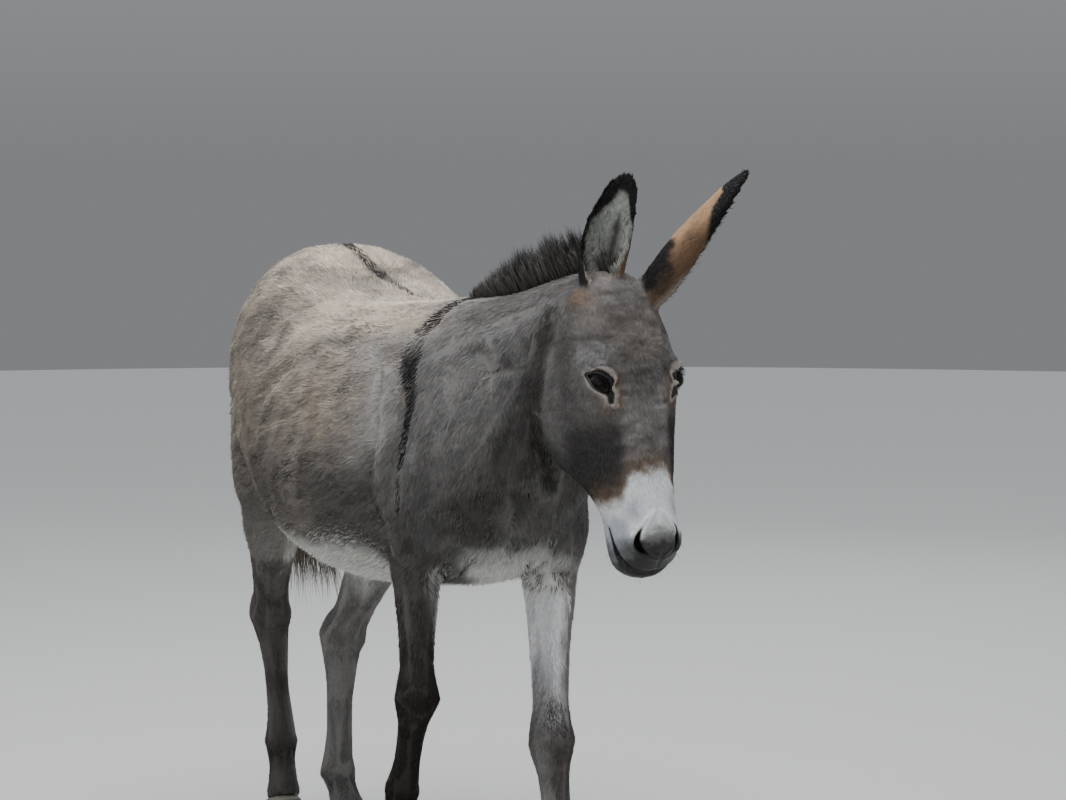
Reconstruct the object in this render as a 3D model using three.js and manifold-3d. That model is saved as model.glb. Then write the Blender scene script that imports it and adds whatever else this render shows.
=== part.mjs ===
// A life-size donkey in mid-stride: three hooves on the ground, the right foreleg lifted, the head lowered
// and turned a little to its left. Millimetres, +X forward, +Y the donkey's left, +Z up.
import * as THREE from "three";
import { mergeVertices } from "three/addons/utils/BufferGeometryUtils.js";
import Module from "manifold-3d";

const wasm = await Module();
wasm.setup();

// ---- driving sizes ----
const GAP = 0.7; // between neighbouring pieces at a flat cut
const SEAT = 1.1; // by which the shape that carves a neighbour's seat is larger than the piece in it
const SLIVER = 0.25; // detail smaller than this is smoothed out of a cut solid
const GROUND_Z = 0;
const LEFT = 1;
const RIGHT = -1;
const FAR = 3000; // larger than the animal

// How finely each shape is cut: points round it, and steps along it.
const CUT = {
  trunk: { around: 24, steps: 28 },
  head: { around: 20, steps: 22 },
  upperLeg: { around: 12, steps: 16 },
  lowerLeg: { around: 10, steps: 12 },
  hoof: { around: 14 },
  ear: { around: 8, steps: 10 },
  mane: { around: 10, steps: 13 },
  tail: { around: 10, steps: 8 },
  ball: [12, 8],
  nostril: [10, 6],
};

const POLL = [752, 120, 1204]; // top of the skull between the ears
const HEAD_YAW = 14; // degrees to the left of the trunk
const HEAD_TILT = 10; // degrees that the face line leans forward of vertical
const HEAD_ROLL = 1.5; // degrees that the right side hangs lower
const HEAD_LENGTH = 515; // poll to upper lip

const EYE_RADIUS = 18;
const EYE_AT = { down: 181, side: 75, front: -11 }; // eyeball centre in the head's frame
const EAR_WALL = 7;
const THIN_WALL = 0.75; // the wall's largest share of an ear's depth
const RIM_WALL = 0.12; // the square of the wall's share that is left at an ear's rims
const EAR_SLEEVE = { radius: 42, back: 8 }; // kept free of mane round an ear
const JOINT_SHARE = 0.84; // where the knee or hock begins, down the bone above it
const SLOPE_STEP = 0.02; // share of a limb over which its direction is read

const COLOURS = {
  coat: 0x7d746b,
  pale_coat: 0xb9b4a9,
  dark_coat: 0x4a4440,
  mane: 0x2b2624,
  hoof: 0x3c3a36,
  eye: 0x17110d,
};
const material = (name, roughness = 0.9) =>
  new THREE.MeshStandardMaterial({ color: COLOURS[name], roughness, metalness: 0 });

// ---- solids ----
function solidOf(geometry, matrix = new THREE.Matrix4()) {
  const bare = (geometry.index ? geometry.toNonIndexed() : geometry.clone()).applyMatrix4(matrix);
  bare.deleteAttribute("normal");
  bare.deleteAttribute("uv");
  const merged = mergeVertices(bare, 1e-3);
  return new wasm.Manifold(
    new wasm.Mesh({
      numProp: 3,
      vertProperties: merged.attributes.position.array,
      triVerts: new Uint32Array(merged.index.array),
    }),
  );
}

function geometryOf(solid) {
  const { vertProperties, triVerts, numProp, numVert } = solid.getMesh();
  const positions = new Float32Array(numVert * 3);
  for (let i = 0; i < numVert; i++) {
    positions.set(vertProperties.subarray(i * numProp, i * numProp + 3), i * 3);
  }
  const geometry = new THREE.BufferGeometry();
  geometry.setAttribute("position", new THREE.BufferAttribute(positions, 3));
  geometry.setIndex(new THREE.BufferAttribute(new Uint32Array(triVerts), 1));
  return geometry;
}

// The largest of a solid's separate bodies, without the crumbs and slivers that a cut leaves.
function largest(solid) {
  return solid.decompose().sort((a, b) => b.volume() - a.volume())[0].simplify(SLIVER);
}

// A box that fills one side of the plane through `point` with normal `normal`.
function halfSpace(point, normal, offset = 0) {
  const away = new THREE.Vector3(...normal).normalize();
  const box = new THREE.BoxGeometry(FAR, FAR, FAR);
  const turn = new THREE.Quaternion().setFromUnitVectors(new THREE.Vector3(0, 0, 1), away);
  const centre = new THREE.Vector3(...point).addScaledVector(away, offset + FAR / 2);
  return solidOf(box, new THREE.Matrix4().compose(centre, turn, new THREE.Vector3(1, 1, 1)));
}

// Splits a solid at a plane with a thin cut, into the part ahead of the normal and the part behind.
function split(solid, point, normal) {
  const back = normal.map((n) => -n);
  return {
    ahead: largest(solid.intersect(halfSpace(point, normal, GAP / 2))),
    behind: largest(solid.intersect(halfSpace(point, back, GAP / 2))),
  };
}

// ---- lofts ----
// One smooth value per station, read at any share of the way along.
function track(values) {
  const points = values.map((v) => (v.isVector3 ? v : new THREE.Vector3(v, 0, 0)));
  const curve = new THREE.CatmullRomCurve3(points, false, "catmullrom", 0.5);
  return values[0].isVector3 ? (t) => curve.getPoint(t) : (t) => curve.getPoint(t).x;
}

// Joins rings of equal count into one closed surface. Each ring turns right-handed about the way along.
function skinOver(rings, capPairs = false) {
  const count = rings[0].length;
  const positions = rings.flat().flatMap((p) => p.toArray());
  const triangles = [];
  for (let i = 0; i + 1 < rings.length; i++) {
    for (let j = 0; j < count; j++) {
      const a = i * count + j;
      const b = i * count + ((j + 1) % count);
      triangles.push(a, b, b + count, a, b + count, a + count);
    }
  }
  const last = (rings.length - 1) * count;
  if (capPairs) {
    for (let j = 0; j < count / 2 - 1; j++) {
      const k = count - 1 - j;
      triangles.push(j, k, k - 1, j, k - 1, j + 1);
      triangles.push(last + j, last + k - 1, last + k, last + j, last + j + 1, last + k - 1);
    }
  } else {
    for (const [ring, start, turn] of [[rings[0], 0, 1], [rings.at(-1), last, 0]]) {
      const centre = ring.reduce((sum, p) => sum.add(p), new THREE.Vector3()).divideScalar(count);
      const hub = positions.length / 3;
      positions.push(...centre.toArray());
      for (let j = 0; j < count; j++) {
        const k = (j + 1) % count;
        triangles.push(hub, start + (turn ? k : j), start + (turn ? j : k));
      }
    }
  }
  const geometry = new THREE.BufferGeometry();
  geometry.setAttribute("position", new THREE.Float32BufferAttribute(positions, 3));
  geometry.setIndex(triangles);
  return geometry;
}

// A ring round `centre`: four half-sizes along `side` and `up`, each quarter a superellipse.
// `lean` above 0 makes it wider towards `up`, and `square` above 2 fills its corners.
function ring(centre, side, up, half, lean, square, around) {
  const points = [];
  for (let j = 0; j < around; j++) {
    const angle = (2 * Math.PI * j) / around;
    const c = Math.cos(angle);
    const s = Math.sin(angle);
    const x = Math.sign(c) * Math.abs(c) ** (2 / square) * (c > 0 ? half.left : half.right);
    const y = Math.sign(s) * Math.abs(s) ** (2 / square) * (s > 0 ? half.up : half.down);
    points.push(centre.clone().addScaledVector(side, x * (1 + lean * s)).addScaledVector(up, y));
  }
  return points;
}

// Moves both end rings outwards, so that a shape grown sideways is grown at its ends too.
function stretchEnds(rings, grow) {
  const middle = (ring) => ring.reduce((sum, p) => sum.add(p), new THREE.Vector3()).divideScalar(ring.length);
  for (const [end, next] of [[rings[0], rings[1]], [rings.at(-1), rings.at(-2)]]) {
    const outward = middle(end).sub(middle(next)).setLength(grow);
    end.forEach((p) => p.add(outward));
  }
  return rings;
}

// A body between an upper and a lower outline. Each station gives a point on both, the half-width, the
// sideways place of its middle and the yaw of its plane.
function profileLoft(stations, { around, steps, grow = 0 }) {
  const read = (f) => track(stations.map(f));
  const top = read((s) => new THREE.Vector3(s.top[0], s.y ?? 0, s.top[1]));
  const bottom = read((s) => new THREE.Vector3(s.bottom[0], s.y ?? 0, s.bottom[1]));
  const side = read((s) => s.side);
  const lean = read((s) => s.lean ?? 0);
  const square = read((s) => s.square ?? 2);
  const yaw = read((s) => s.yaw ?? 0);
  const rings = [];
  for (let i = 0; i <= steps; i++) {
    const t = i / steps;
    const up = top(t).sub(bottom(t));
    const height = up.length() / 2 + grow;
    up.normalize();
    const angle = THREE.MathUtils.degToRad(yaw(t));
    const across = new THREE.Vector3(-Math.sin(angle), Math.cos(angle), 0);
    const centre = top(t).add(bottom(t)).multiplyScalar(0.5);
    const width = Math.max(side(t), 1) + grow;
    const half = { left: width, right: width, up: height, down: height };
    rings.push(ring(centre, across, up, half, lean(t), square(t), around));
  }
  return skinOver(stretchEnds(rings, grow));
}

// A limb along a path. Each station gives its centre and how far the limb reaches to the front, back,
// outer and inner side of it.
function limbLoft(stations, hand, { around, steps, grow = 0 }) {
  const read = (f) => track(stations.map(f));
  const centre = read((s) => new THREE.Vector3(...s.at));
  const sizes = ["front", "back", "out", "in"].map((name) => read((s) => s[name]));
  const square = read((s) => s.square ?? 2);
  const rings = [];
  for (let i = 0; i <= steps; i++) {
    const t = i / steps;
    const ahead = centre(Math.min(1, t + SLOPE_STEP));
    const along = ahead.sub(centre(Math.max(0, t - SLOPE_STEP))).normalize();
    const side = new THREE.Vector3(0, 1, 0);
    side.addScaledVector(along, -side.dot(along)).normalize();
    const forward = new THREE.Vector3().crossVectors(side, along).negate();
    const [front, back, out, inner] = sizes.map((size) => Math.max(size(t), 1) + grow);
    const [left, right] = hand === LEFT ? [out, inner] : [inner, out];
    const half = { left: front, right: back, up: left, down: right };
    rings.push(ring(centre(t), forward, side, half, 0, square(t), around).reverse());
  }
  return skinOver(stretchEnds(rings, grow));
}

// ---- trunk and neck ----
const TRUNK = [
  { top: [-676, 1010], bottom: [-674, 890], side: 44 },
  { top: [-658, 1078], bottom: [-660, 800], side: 106, square: 2.1, lean: 0.03 },
  { top: [-600, 1146], bottom: [-606, 716], side: 163, square: 2.1, lean: 0.05 },
  { top: [-510, 1200], bottom: [-514, 662], side: 203, square: 2.15, lean: 0.06 },
  { top: [-400, 1227], bottom: [-402, 636], side: 228, square: 2.2, lean: 0.05 },
  { top: [-290, 1213], bottom: [-290, 614], side: 249, square: 2.35, lean: 0.05 },
  { top: [-150, 1166], bottom: [-150, 598], side: 267, square: 2.3, lean: 0.02 },
  { top: [0, 1134], bottom: [0, 594], side: 268, square: 2.2, lean: -0.03 },
  { top: [140, 1130], bottom: [140, 606], side: 240, square: 2.1, lean: -0.06 },
  { top: [250, 1142], bottom: [270, 622], side: 203, square: 2.1, lean: -0.1, y: 3 },
  { top: [335, 1152], bottom: [390, 638], side: 178, square: 2.1, lean: -0.16, y: 6, yaw: 1 },
  { top: [395, 1153], bottom: [490, 668], side: 166, square: 2.1, lean: -0.2, y: 9, yaw: 4 },
  { top: [450, 1158], bottom: [568, 728], side: 150, square: 2.1, lean: -0.22, y: 17, yaw: 8 },
  { top: [510, 1167], bottom: [612, 812], side: 124, lean: -0.22, y: 33, yaw: 13 },
  { top: [572, 1184], bottom: [630, 893], side: 102, lean: -0.18, y: 55, yaw: 17 },
  { top: [632, 1202], bottom: [646, 962], side: 88, lean: -0.1, y: 82, yaw: 19 },
  { top: [690, 1212], bottom: [672, 1030], side: 76, y: 104, yaw: 18 },
  { top: [730, 1200], bottom: [702, 1080], side: 52, y: 118, yaw: 15 },
];
const NECK_CUT = { at: [468, 10, 930], normal: [0.86, 0.16, 0.5] };

// ---- legs ----
// Each row: the bone, the share of the way down it, and the reach to the front, back, outside and inside.
const FORE_UPPER = [
  ["blade", 0, 40, 40, 24, 34],
  ["blade", 0.5, 92, 92, 58, 50],
  ["blade", 1, 128, 126, 60, 60],
  ["arm", 0.55, 112, 112, 56, 60],
  ["arm", 1, 74, 84, 50, 50],
  ["forearm", 0.2, 56, 60, 42, 40],
  ["forearm", 0.5, 43, 46, 34, 34],
  ["forearm", 0.8, 34, 37, 31, 31],
  ["forearm", 0.95, 39, 39, 39, 39],
  ["forearm", 1.05, 36, 34, 35, 34],
  ["forearm", 1.13, 16, 14, 16, 16],
];
const FORE_LOWER = [
  ["cannon", -0.16, 16, 14, 16, 16],
  ["cannon", -0.06, 37, 37, 37, 37],
  ["cannon", 0.06, 39, 39, 39, 39],
  ["cannon", 0.22, 30, 33, 30, 29],
  ["cannon", 0.5, 23, 30, 25, 24],
  ["cannon", 0.82, 24, 33, 26, 25],
  ["cannon", 1, 31, 38, 32, 31],
  ["pastern", 0.45, 26, 28, 28, 27],
  ["pastern", 0.85, 33, 34, 35, 35],
  ["pastern", 1.15, 32, 32, 34, 34],
];
const HIND_UPPER = [
  ["haunch", 0, 105, 95, 84, 60],
  ["haunch", 0.5, 150, 165, 96, 70],
  ["haunch", 1, 158, 165, 90, 75],
  ["thigh", 0.6, 128, 150, 80, 68],
  ["thigh", 1, 104, 124, 66, 58],
  ["gaskin", 0.3, 72, 88, 52, 48],
  ["gaskin", 0.62, 45, 60, 40, 38],
  ["gaskin", 0.84, 38, 58, 38, 37],
  ["gaskin", 0.95, 42, 66, 45, 43],
  ["gaskin", 1.06, 38, 50, 38, 37],
  ["gaskin", 1.16, 15, 18, 15, 15],
];
const HIND_LOWER = [
  ["cannon", -0.17, 15, 26, 15, 15],
  ["cannon", -0.1, 40, 60, 44, 43],
  ["cannon", 0.02, 41, 53, 42, 41],
  ["cannon", 0.2, 32, 37, 32, 33],
  ["cannon", 0.5, 25, 30, 25, 26],
  ["cannon", 0.84, 26, 34, 28, 28],
  ["cannon", 1, 32, 40, 35, 35],
  ["pastern", 0.45, 26, 28, 28, 27],
  ["pastern", 0.85, 33, 34, 35, 35],
  ["pastern", 1.15, 32, 32, 34, 34],
];

// Joint places, and the hoof's middle at the sole with its pitch in degrees, toe down above 0.
const LEGS = {
  foreleg_left: {
    hand: LEFT,
    upper: FORE_UPPER,
    lower: FORE_LOWER,
    cut: 628,
    joints: {
      blade: [[300, 84, 1050], [418, 116, 815]],
      arm: [[418, 116, 815], [368, 140, 668]],
      forearm: [[368, 140, 668], [480, 98, 366]],
      cannon: [[480, 98, 366], [522, 98, 150]],
      pastern: [[522, 98, 150], [572, 98, 66]],
    },
    girth: 1.06,
    hoof: { at: [592, 98, GROUND_Z], pitch: 0 },
  },
  foreleg_right: {
    hand: RIGHT,
    upper: FORE_UPPER,
    lower: FORE_LOWER,
    cut: 628,
    joints: {
      blade: [[300, -84, 1050], [412, -112, 822]],
      arm: [[412, -112, 822], [352, -106, 690]],
      forearm: [[352, -106, 690], [498, -160, 466]],
      cannon: [[498, -160, 466], [402, -152, 282]],
      pastern: [[402, -152, 282], [342, -148, 212]],
    },
    hoof: { at: [297, -146, 160], pitch: 70 },
  },
  hindleg_left: {
    hand: LEFT,
    upper: HIND_UPPER,
    lower: HIND_LOWER,
    cut: 588,
    joints: {
      haunch: [[-430, 92, 1060], [-425, 118, 855]],
      thigh: [[-425, 118, 855], [-375, 102, 670]],
      gaskin: [[-375, 102, 670], [-492, 30, 402]],
      cannon: [[-492, 30, 402], [-468, 13, 132]],
      pastern: [[-468, 13, 132], [-404, 13, 62]],
    },
    girth: 1.07,
    hoof: { at: [-384, 13, GROUND_Z], pitch: 0 },
  },
  hindleg_right: {
    hand: RIGHT,
    upper: HIND_UPPER,
    lower: HIND_LOWER,
    cut: 588,
    joints: {
      haunch: [[-440, -92, 1060], [-440, -122, 855]],
      thigh: [[-440, -122, 855], [-430, -134, 690]],
      gaskin: [[-430, -134, 690], [-620, -83, 440]],
      cannon: [[-620, -83, 440], [-612, -64, 174]],
      pastern: [[-612, -64, 174], [-582, -70, 72]],
    },
    hoof: { at: [-566, -72, GROUND_Z], pitch: 0 },
  },
};

function stationsOf(rows, { joints, girth = 1 }) {
  return rows.map(([bone, share, ...reach]) => {
    const [from, to] = joints[bone].map((p) => new THREE.Vector3(...p));
    const [front, back, out, inner] = reach.map((r) => r * girth);
    return { at: from.lerp(to, share).toArray(), front, back, out, in: inner };
  });
}

const HOOF_SQUARE = 2.2;
const HOOF = [
  { at: [0, 0, 0], tilt: 0, front: 51, back: 44, across: 43 },
  { at: [-8, 0, 26], tilt: 8, front: 47, back: 41, across: 41 },
  { at: [-19, 0, 54], tilt: 20, front: 41, back: 37, across: 38 },
  { at: [-23, 0, 60], tilt: 22, front: 33, back: 31, across: 32 },
];

function hoofGeometry() {
  const rings = HOOF.map(({ at, tilt, front, back, across }) => {
    const angle = THREE.MathUtils.degToRad(tilt);
    const forward = new THREE.Vector3(Math.cos(angle), 0, Math.sin(angle));
    const half = { left: front, right: back, up: across, down: across };
    const side = new THREE.Vector3(0, 1, 0);
    return ring(new THREE.Vector3(...at), forward, side, half, 0, HOOF_SQUARE, CUT.hoof.around);
  });
  return skinOver(rings);
}

function hoofMatrix({ at, pitch }) {
  const turn = new THREE.Quaternion().setFromAxisAngle(
    new THREE.Vector3(0, 1, 0),
    THREE.MathUtils.degToRad(pitch),
  );
  return new THREE.Matrix4().compose(new THREE.Vector3(...at), turn, new THREE.Vector3(1, 1, 1));
}

// ---- head, in its own frame: x down the face from the poll, y to the left, z out of the face ----
const HEAD = [
  { top: [-10, -40], bottom: [-16, -70], side: 24 },
  { top: [6, -8], bottom: [14, -116], side: 58, lean: 0.05 },
  { top: [34, 10], bottom: [62, -158], side: 78, lean: 0.08 },
  { top: [76, 20], bottom: [118, -198], side: 92, square: 2.2, lean: 0.12 },
  { top: [124, 26], bottom: [174, -222], side: 102, square: 2.4, lean: 0.15 },
  { top: [172, 24], bottom: [234, -232], side: 103, square: 2.5, lean: 0.15 },
  { top: [222, 18], bottom: [290, -210], side: 97, square: 2.4, lean: 0.1 },
  { top: [278, 11], bottom: [330, -162], side: 86, square: 2.3, lean: 0.06 },
  { top: [338, 6], bottom: [360, -123], side: 74, square: 2.3, lean: 0.02 },
  { top: [392, 5], bottom: [398, -98], side: 65, square: 2.3 },
  { top: [436, 8], bottom: [436, -95], side: 65, square: 2.3 },
  { top: [470, 1], bottom: [468, -95], side: 61, square: 2.1, lean: 0.05, y: -2 },
  { top: [492, -16], bottom: [489, -82], side: 47, lean: 0.03, y: -5 },
  { top: [HEAD_LENGTH - 8, -37], bottom: [501, -62], side: 22, y: -6 },
];
const MOUTH = { corner: 405, front: -53, slope: -0.28 }; // the line between the lips
const NOSTRIL = { down: 450, side: 42, front: 2, size: [17, 7, 14], turn: 0.7 };
const ORBIT = { down: 176, side: 74, front: -6, size: [40, 15, 28] }; // the raised rim round an eye

const headMatrix = (() => {
  const tilt = THREE.MathUtils.degToRad(HEAD_TILT);
  const yaw = THREE.MathUtils.degToRad(HEAD_YAW);
  const heading = new THREE.Vector3(Math.cos(yaw), Math.sin(yaw), 0);
  const up = new THREE.Vector3(0, 0, 1);
  const down = heading.clone().multiplyScalar(Math.sin(tilt)).addScaledVector(up, -Math.cos(tilt));
  const out = heading.clone().multiplyScalar(Math.cos(tilt)).addScaledVector(up, Math.sin(tilt));
  const left = new THREE.Vector3().crossVectors(out, down);
  const roll = THREE.MathUtils.degToRad(HEAD_ROLL);
  const turned = new THREE.Quaternion().setFromAxisAngle(out, roll);
  down.applyQuaternion(turned);
  left.applyQuaternion(turned);
  return new THREE.Matrix4().makeBasis(down, left, out).setPosition(...POLL);
})();

function headParts() {
  let head = solidOf(profileLoft(HEAD, CUT.head));
  for (const hand of [LEFT, RIGHT]) {
    const rim = new THREE.Matrix4().makeScale(...ORBIT.size);
    rim.setPosition(ORBIT.down, hand * ORBIT.side, ORBIT.front);
    head = head.add(solidOf(new THREE.SphereGeometry(1, ...CUT.ball), rim));
    const socket = new THREE.SphereGeometry(EYE_RADIUS + SEAT, ...CUT.ball);
    const at = new THREE.Matrix4().makeTranslation(EYE_AT.down, hand * EYE_AT.side, EYE_AT.front);
    head = head.subtract(solidOf(socket, at));
    const nostril = new THREE.SphereGeometry(1, ...CUT.nostril);
    const shape = new THREE.Matrix4().makeScale(...NOSTRIL.size);
    shape.premultiply(new THREE.Matrix4().makeRotationX(-hand * NOSTRIL.turn));
    shape.setPosition(NOSTRIL.down, hand * NOSTRIL.side, NOSTRIL.front);
    head = head.subtract(solidOf(nostril, shape));
  }
  // The chin and lower lip come off along the mouth line and a short cut behind its corner.
  const mouthLine = [-MOUTH.slope, 0, -1];
  const below = halfSpace([MOUTH.corner, 0, MOUTH.front], mouthLine);
  const chinZone = below.intersect(halfSpace([MOUTH.corner, 0, 0], [1, 0, 0]));
  const wider = halfSpace([MOUTH.corner, 0, MOUTH.front], mouthLine, -GAP);
  const keepOut = wider.intersect(halfSpace([MOUTH.corner, 0, 0], [1, 0, 0], -GAP));
  return { chin: largest(head.intersect(chinZone)), head: largest(head.subtract(keepOut)) };
}

// ---- ears, in a frame of their own: z up the ear, x out of its mouth ----
const EAR = [
  { share: 0, width: 27, depth: 25, wrap: 168 },
  { share: 0.12, width: 32, depth: 29, wrap: 158 },
  { share: 0.3, width: 41, depth: 31, wrap: 128 },
  { share: 0.5, width: 43, depth: 29, wrap: 108 },
  { share: 0.7, width: 37, depth: 22, wrap: 96 },
  { share: 0.86, width: 29, depth: 16, wrap: 86 },
  { share: 0.96, width: 21, depth: 11, wrap: 80 },
  { share: 1, width: 14, depth: 7, wrap: 76 },
];

function earGeometry({ base, tip, bow }) {
  const length = new THREE.Vector3(...base).distanceTo(new THREE.Vector3(...tip));
  const width = track(EAR.map((s) => s.width));
  const depth = track(EAR.map((s) => s.depth));
  const wrap = track(EAR.map((s) => s.wrap));
  const share = track(EAR.map((s) => s.share));
  const { around, steps } = CUT.ear;
  const rings = [];
  for (let i = 0; i <= steps; i++) {
    const t = i / steps;
    const wall = Math.min(EAR_WALL, depth(t) * THIN_WALL);
    const limit = THREE.MathUtils.degToRad(wrap(t));
    const rim = (inset, j) => {
      const angle = -limit + (2 * limit * j) / (around - 1);
      const taper = inset * Math.sqrt(Math.max(RIM_WALL, 1 - (angle / limit) ** 4));
      const x = -(depth(t) - taper) * Math.cos(angle);
      const y = -(width(t) - taper) * Math.sin(angle) + bow * Math.sin(Math.PI * share(t));
      return new THREE.Vector3(x, y, length * share(t));
    };
    const outer = Array.from({ length: around }, (_, j) => rim(0, j));
    const inner = Array.from({ length: around }, (_, j) => rim(wall, around - 1 - j));
    rings.push([...outer, ...inner]);
  }
  return skinOver(rings, true);
}

// Base and tip in the animal's frame, and the way that the ear's mouth faces.
const EARS = {
  ear_right: { base: [732, 74, 1146], tip: [688, 152, 1370], facing: [0.85, -0.5, 0.1], bow: -9 },
  ear_left: { base: [734, 158, 1150], tip: [735, 354, 1370], facing: [-0.05, 0.9, -0.3], bow: 4 },
};

function earMatrix({ base, tip, facing }) {
  const foot = new THREE.Vector3(...base);
  const up = new THREE.Vector3(...tip).sub(foot).normalize();
  const mouth = new THREE.Vector3(...facing);
  mouth.addScaledVector(up, -mouth.dot(up)).normalize();
  const across = new THREE.Vector3().crossVectors(up, mouth);
  return new THREE.Matrix4().makeBasis(mouth, across, up).setPosition(foot);
}

// ---- mane and tail ----
const MANE = [
  { top: [318, 1154], bottom: [322, 1138], side: 7 },
  { top: [356, 1166], bottom: [360, 1135], side: 13, lean: -0.3 },
  { top: [400, 1192], bottom: [410, 1130], side: 17, lean: -0.5, y: 3, yaw: 4 },
  { top: [458, 1222], bottom: [474, 1136], side: 19, lean: -0.5, y: 13, yaw: 11 },
  { top: [526, 1246], bottom: [542, 1148], side: 19, lean: -0.5, y: 36, yaw: 15 },
  { top: [596, 1262], bottom: [608, 1168], side: 18, lean: -0.5, y: 66, yaw: 18 },
  { top: [658, 1262], bottom: [668, 1180], side: 16, lean: -0.4, y: 92, yaw: 18 },
  { top: [700, 1240], bottom: [704, 1184], side: 10, y: 106, yaw: 16 },
];

const DOCK = [
  { at: [-610, 0, 1078], front: 26, back: 26, out: 32, in: 32 },
  { at: [-668, 2, 1040], front: 30, back: 28, out: 32, in: 32 },
  { at: [-700, 8, 950], front: 24, back: 22, out: 26, in: 26 },
  { at: [-706, 18, 840], front: 20, back: 18, out: 21, in: 21 },
  { at: [-700, 26, 740], front: 17, back: 16, out: 18, in: 18 },
];
const SWITCH = [
  { at: [-700, 26, 742], front: 17, back: 16, out: 18, in: 18 },
  { at: [-696, 29, 690], front: 26, back: 24, out: 25, in: 25 },
  { at: [-690, 32, 610], front: 31, back: 29, out: 30, in: 30 },
  { at: [-686, 34, 530], front: 27, back: 25, out: 27, in: 27 },
  { at: [-684, 35, 470], front: 15, back: 14, out: 16, in: 16 },
  { at: [-684, 35, 440], front: 3, back: 3, out: 3, in: 3 },
];
const TAIL_CUT = { at: [-700, 26, 742], normal: [0, 0, -1] };

// ---- assembly ----
const donkey = new THREE.Group();
const headGroup = new THREE.Group();
headGroup.applyMatrix4(headMatrix);
donkey.add(headGroup);

function addMesh(parent, name, solid, finish) {
  const mesh = new THREE.Mesh(geometryOf(solid), finish);
  mesh.name = name;
  parent.add(mesh);
  return mesh;
}

const coat = material("coat");
const darkCoat = material("dark_coat");
const paleCoat = material("pale_coat");
const maneHair = material("mane");
const hoofHorn = material("hoof", 0.6);
const eyeball = material("eye", 0.08);

let trunk = solidOf(profileLoft(TRUNK, CUT.trunk));
const trunkCutter = solidOf(profileLoft(TRUNK, { ...CUT.trunk, grow: SEAT }));
const headCutter = solidOf(profileLoft(HEAD, { ...CUT.head, grow: SEAT }), headMatrix);

for (const [name, leg] of Object.entries(LEGS)) {
  const upperLoft = limbLoft(stationsOf(leg.upper, leg), leg.hand, CUT.upperLeg);
  const lowerLoft = limbLoft(stationsOf(leg.lower, leg), leg.hand, CUT.lowerLeg);
  const limb = split(solidOf(upperLoft), [0, 0, leg.cut], [0, 0, -1]);
  trunk = trunk.add(limb.behind);
  // The knee or hock belongs to the lower leg: the plane passes across the bone just above the joint.
  const [from, to] = leg.joints[leg.upper.at(-1)[0]].map((p) => new THREE.Vector3(...p));
  const above = from.clone().lerp(to, JOINT_SHARE);
  const joint = split(limb.ahead.add(solidOf(lowerLoft)), above.toArray(), to.clone().sub(from).toArray());
  addMesh(donkey, `${name}_upper`, joint.behind, coat);
  // The shank ends in a flat just above the hoof's own flat top.
  const placed = hoofMatrix(leg.hoof);
  const crown = new THREE.Vector3(...HOOF.at(-1).at).applyMatrix4(placed);
  const tilt = THREE.MathUtils.degToRad(HOOF.at(-1).tilt);
  const upward = new THREE.Vector3(-Math.sin(tilt), 0, Math.cos(tilt)).transformDirection(placed);
  const shank = joint.ahead.intersect(halfSpace(crown.toArray(), upward.toArray(), GAP));
  addMesh(donkey, `${name}_lower`, largest(shank), darkCoat);
  const hoof = new THREE.Mesh(hoofGeometry(), hoofHorn);
  hoof.name = `${name}_hoof`;
  hoof.applyMatrix4(placed);
  donkey.add(hoof);
}

// The tail's root sits in a socket of the rump.
trunk = trunk.subtract(solidOf(limbLoft(DOCK, LEFT, { ...CUT.tail, grow: SEAT })));

const halves = split(trunk, NECK_CUT.at, NECK_CUT.normal);
addMesh(donkey, "trunk", halves.behind, coat);
const neck = largest(halves.ahead.subtract(headCutter));
addMesh(donkey, "neck", neck, coat);

const { head, chin } = headParts();
addMesh(headGroup, "head", head, coat);
addMesh(headGroup, "chin", chin, paleCoat);
for (const [name, hand] of [["eye_left", LEFT], ["eye_right", RIGHT]]) {
  const eye = new THREE.Mesh(new THREE.SphereGeometry(EYE_RADIUS, ...CUT.ball), eyeball);
  eye.name = name;
  eye.position.set(EYE_AT.down, hand * EYE_AT.side, EYE_AT.front);
  headGroup.add(eye);
}

let maneSolid = solidOf(profileLoft(MANE, CUT.mane));
maneSolid = maneSolid.subtract(trunkCutter).subtract(headCutter);
for (const [name, ear] of Object.entries(EARS)) {
  const placed = earMatrix(ear);
  const solid = solidOf(earGeometry(ear), placed).subtract(headCutter).subtract(trunkCutter);
  addMesh(donkey, name, largest(solid), coat);
  // The mane stands clear of a sleeve round each ear.
  const { radius, back } = EAR_SLEEVE;
  const sleeve = new THREE.CylinderGeometry(radius, radius, 4 * radius, 12);
  sleeve.rotateX(Math.PI / 2);
  sleeve.translate(-back, 0, 2 * radius);
  maneSolid = maneSolid.subtract(solidOf(sleeve, placed));
}
addMesh(donkey, "mane", largest(maneSolid), maneHair);

const dock = solidOf(limbLoft(DOCK, LEFT, CUT.tail));
const tailHair = solidOf(limbLoft(SWITCH, LEFT, CUT.tail));
const tail = split(dock.add(tailHair), TAIL_CUT.at, TAIL_CUT.normal);
addMesh(donkey, "tail_dock", tail.behind, coat);
addMesh(donkey, "tail_switch", tail.ahead, maneHair);

// The origin goes to the middle of the footprint of the whole animal, on the ground.
donkey.updateMatrixWorld(true);
const bounds = new THREE.Box3().setFromObject(donkey, true);
const middle = bounds.getCenter(new THREE.Vector3());
donkey.position.set(-middle.x, -middle.y, -bounds.min.z);

export default donkey;
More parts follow.
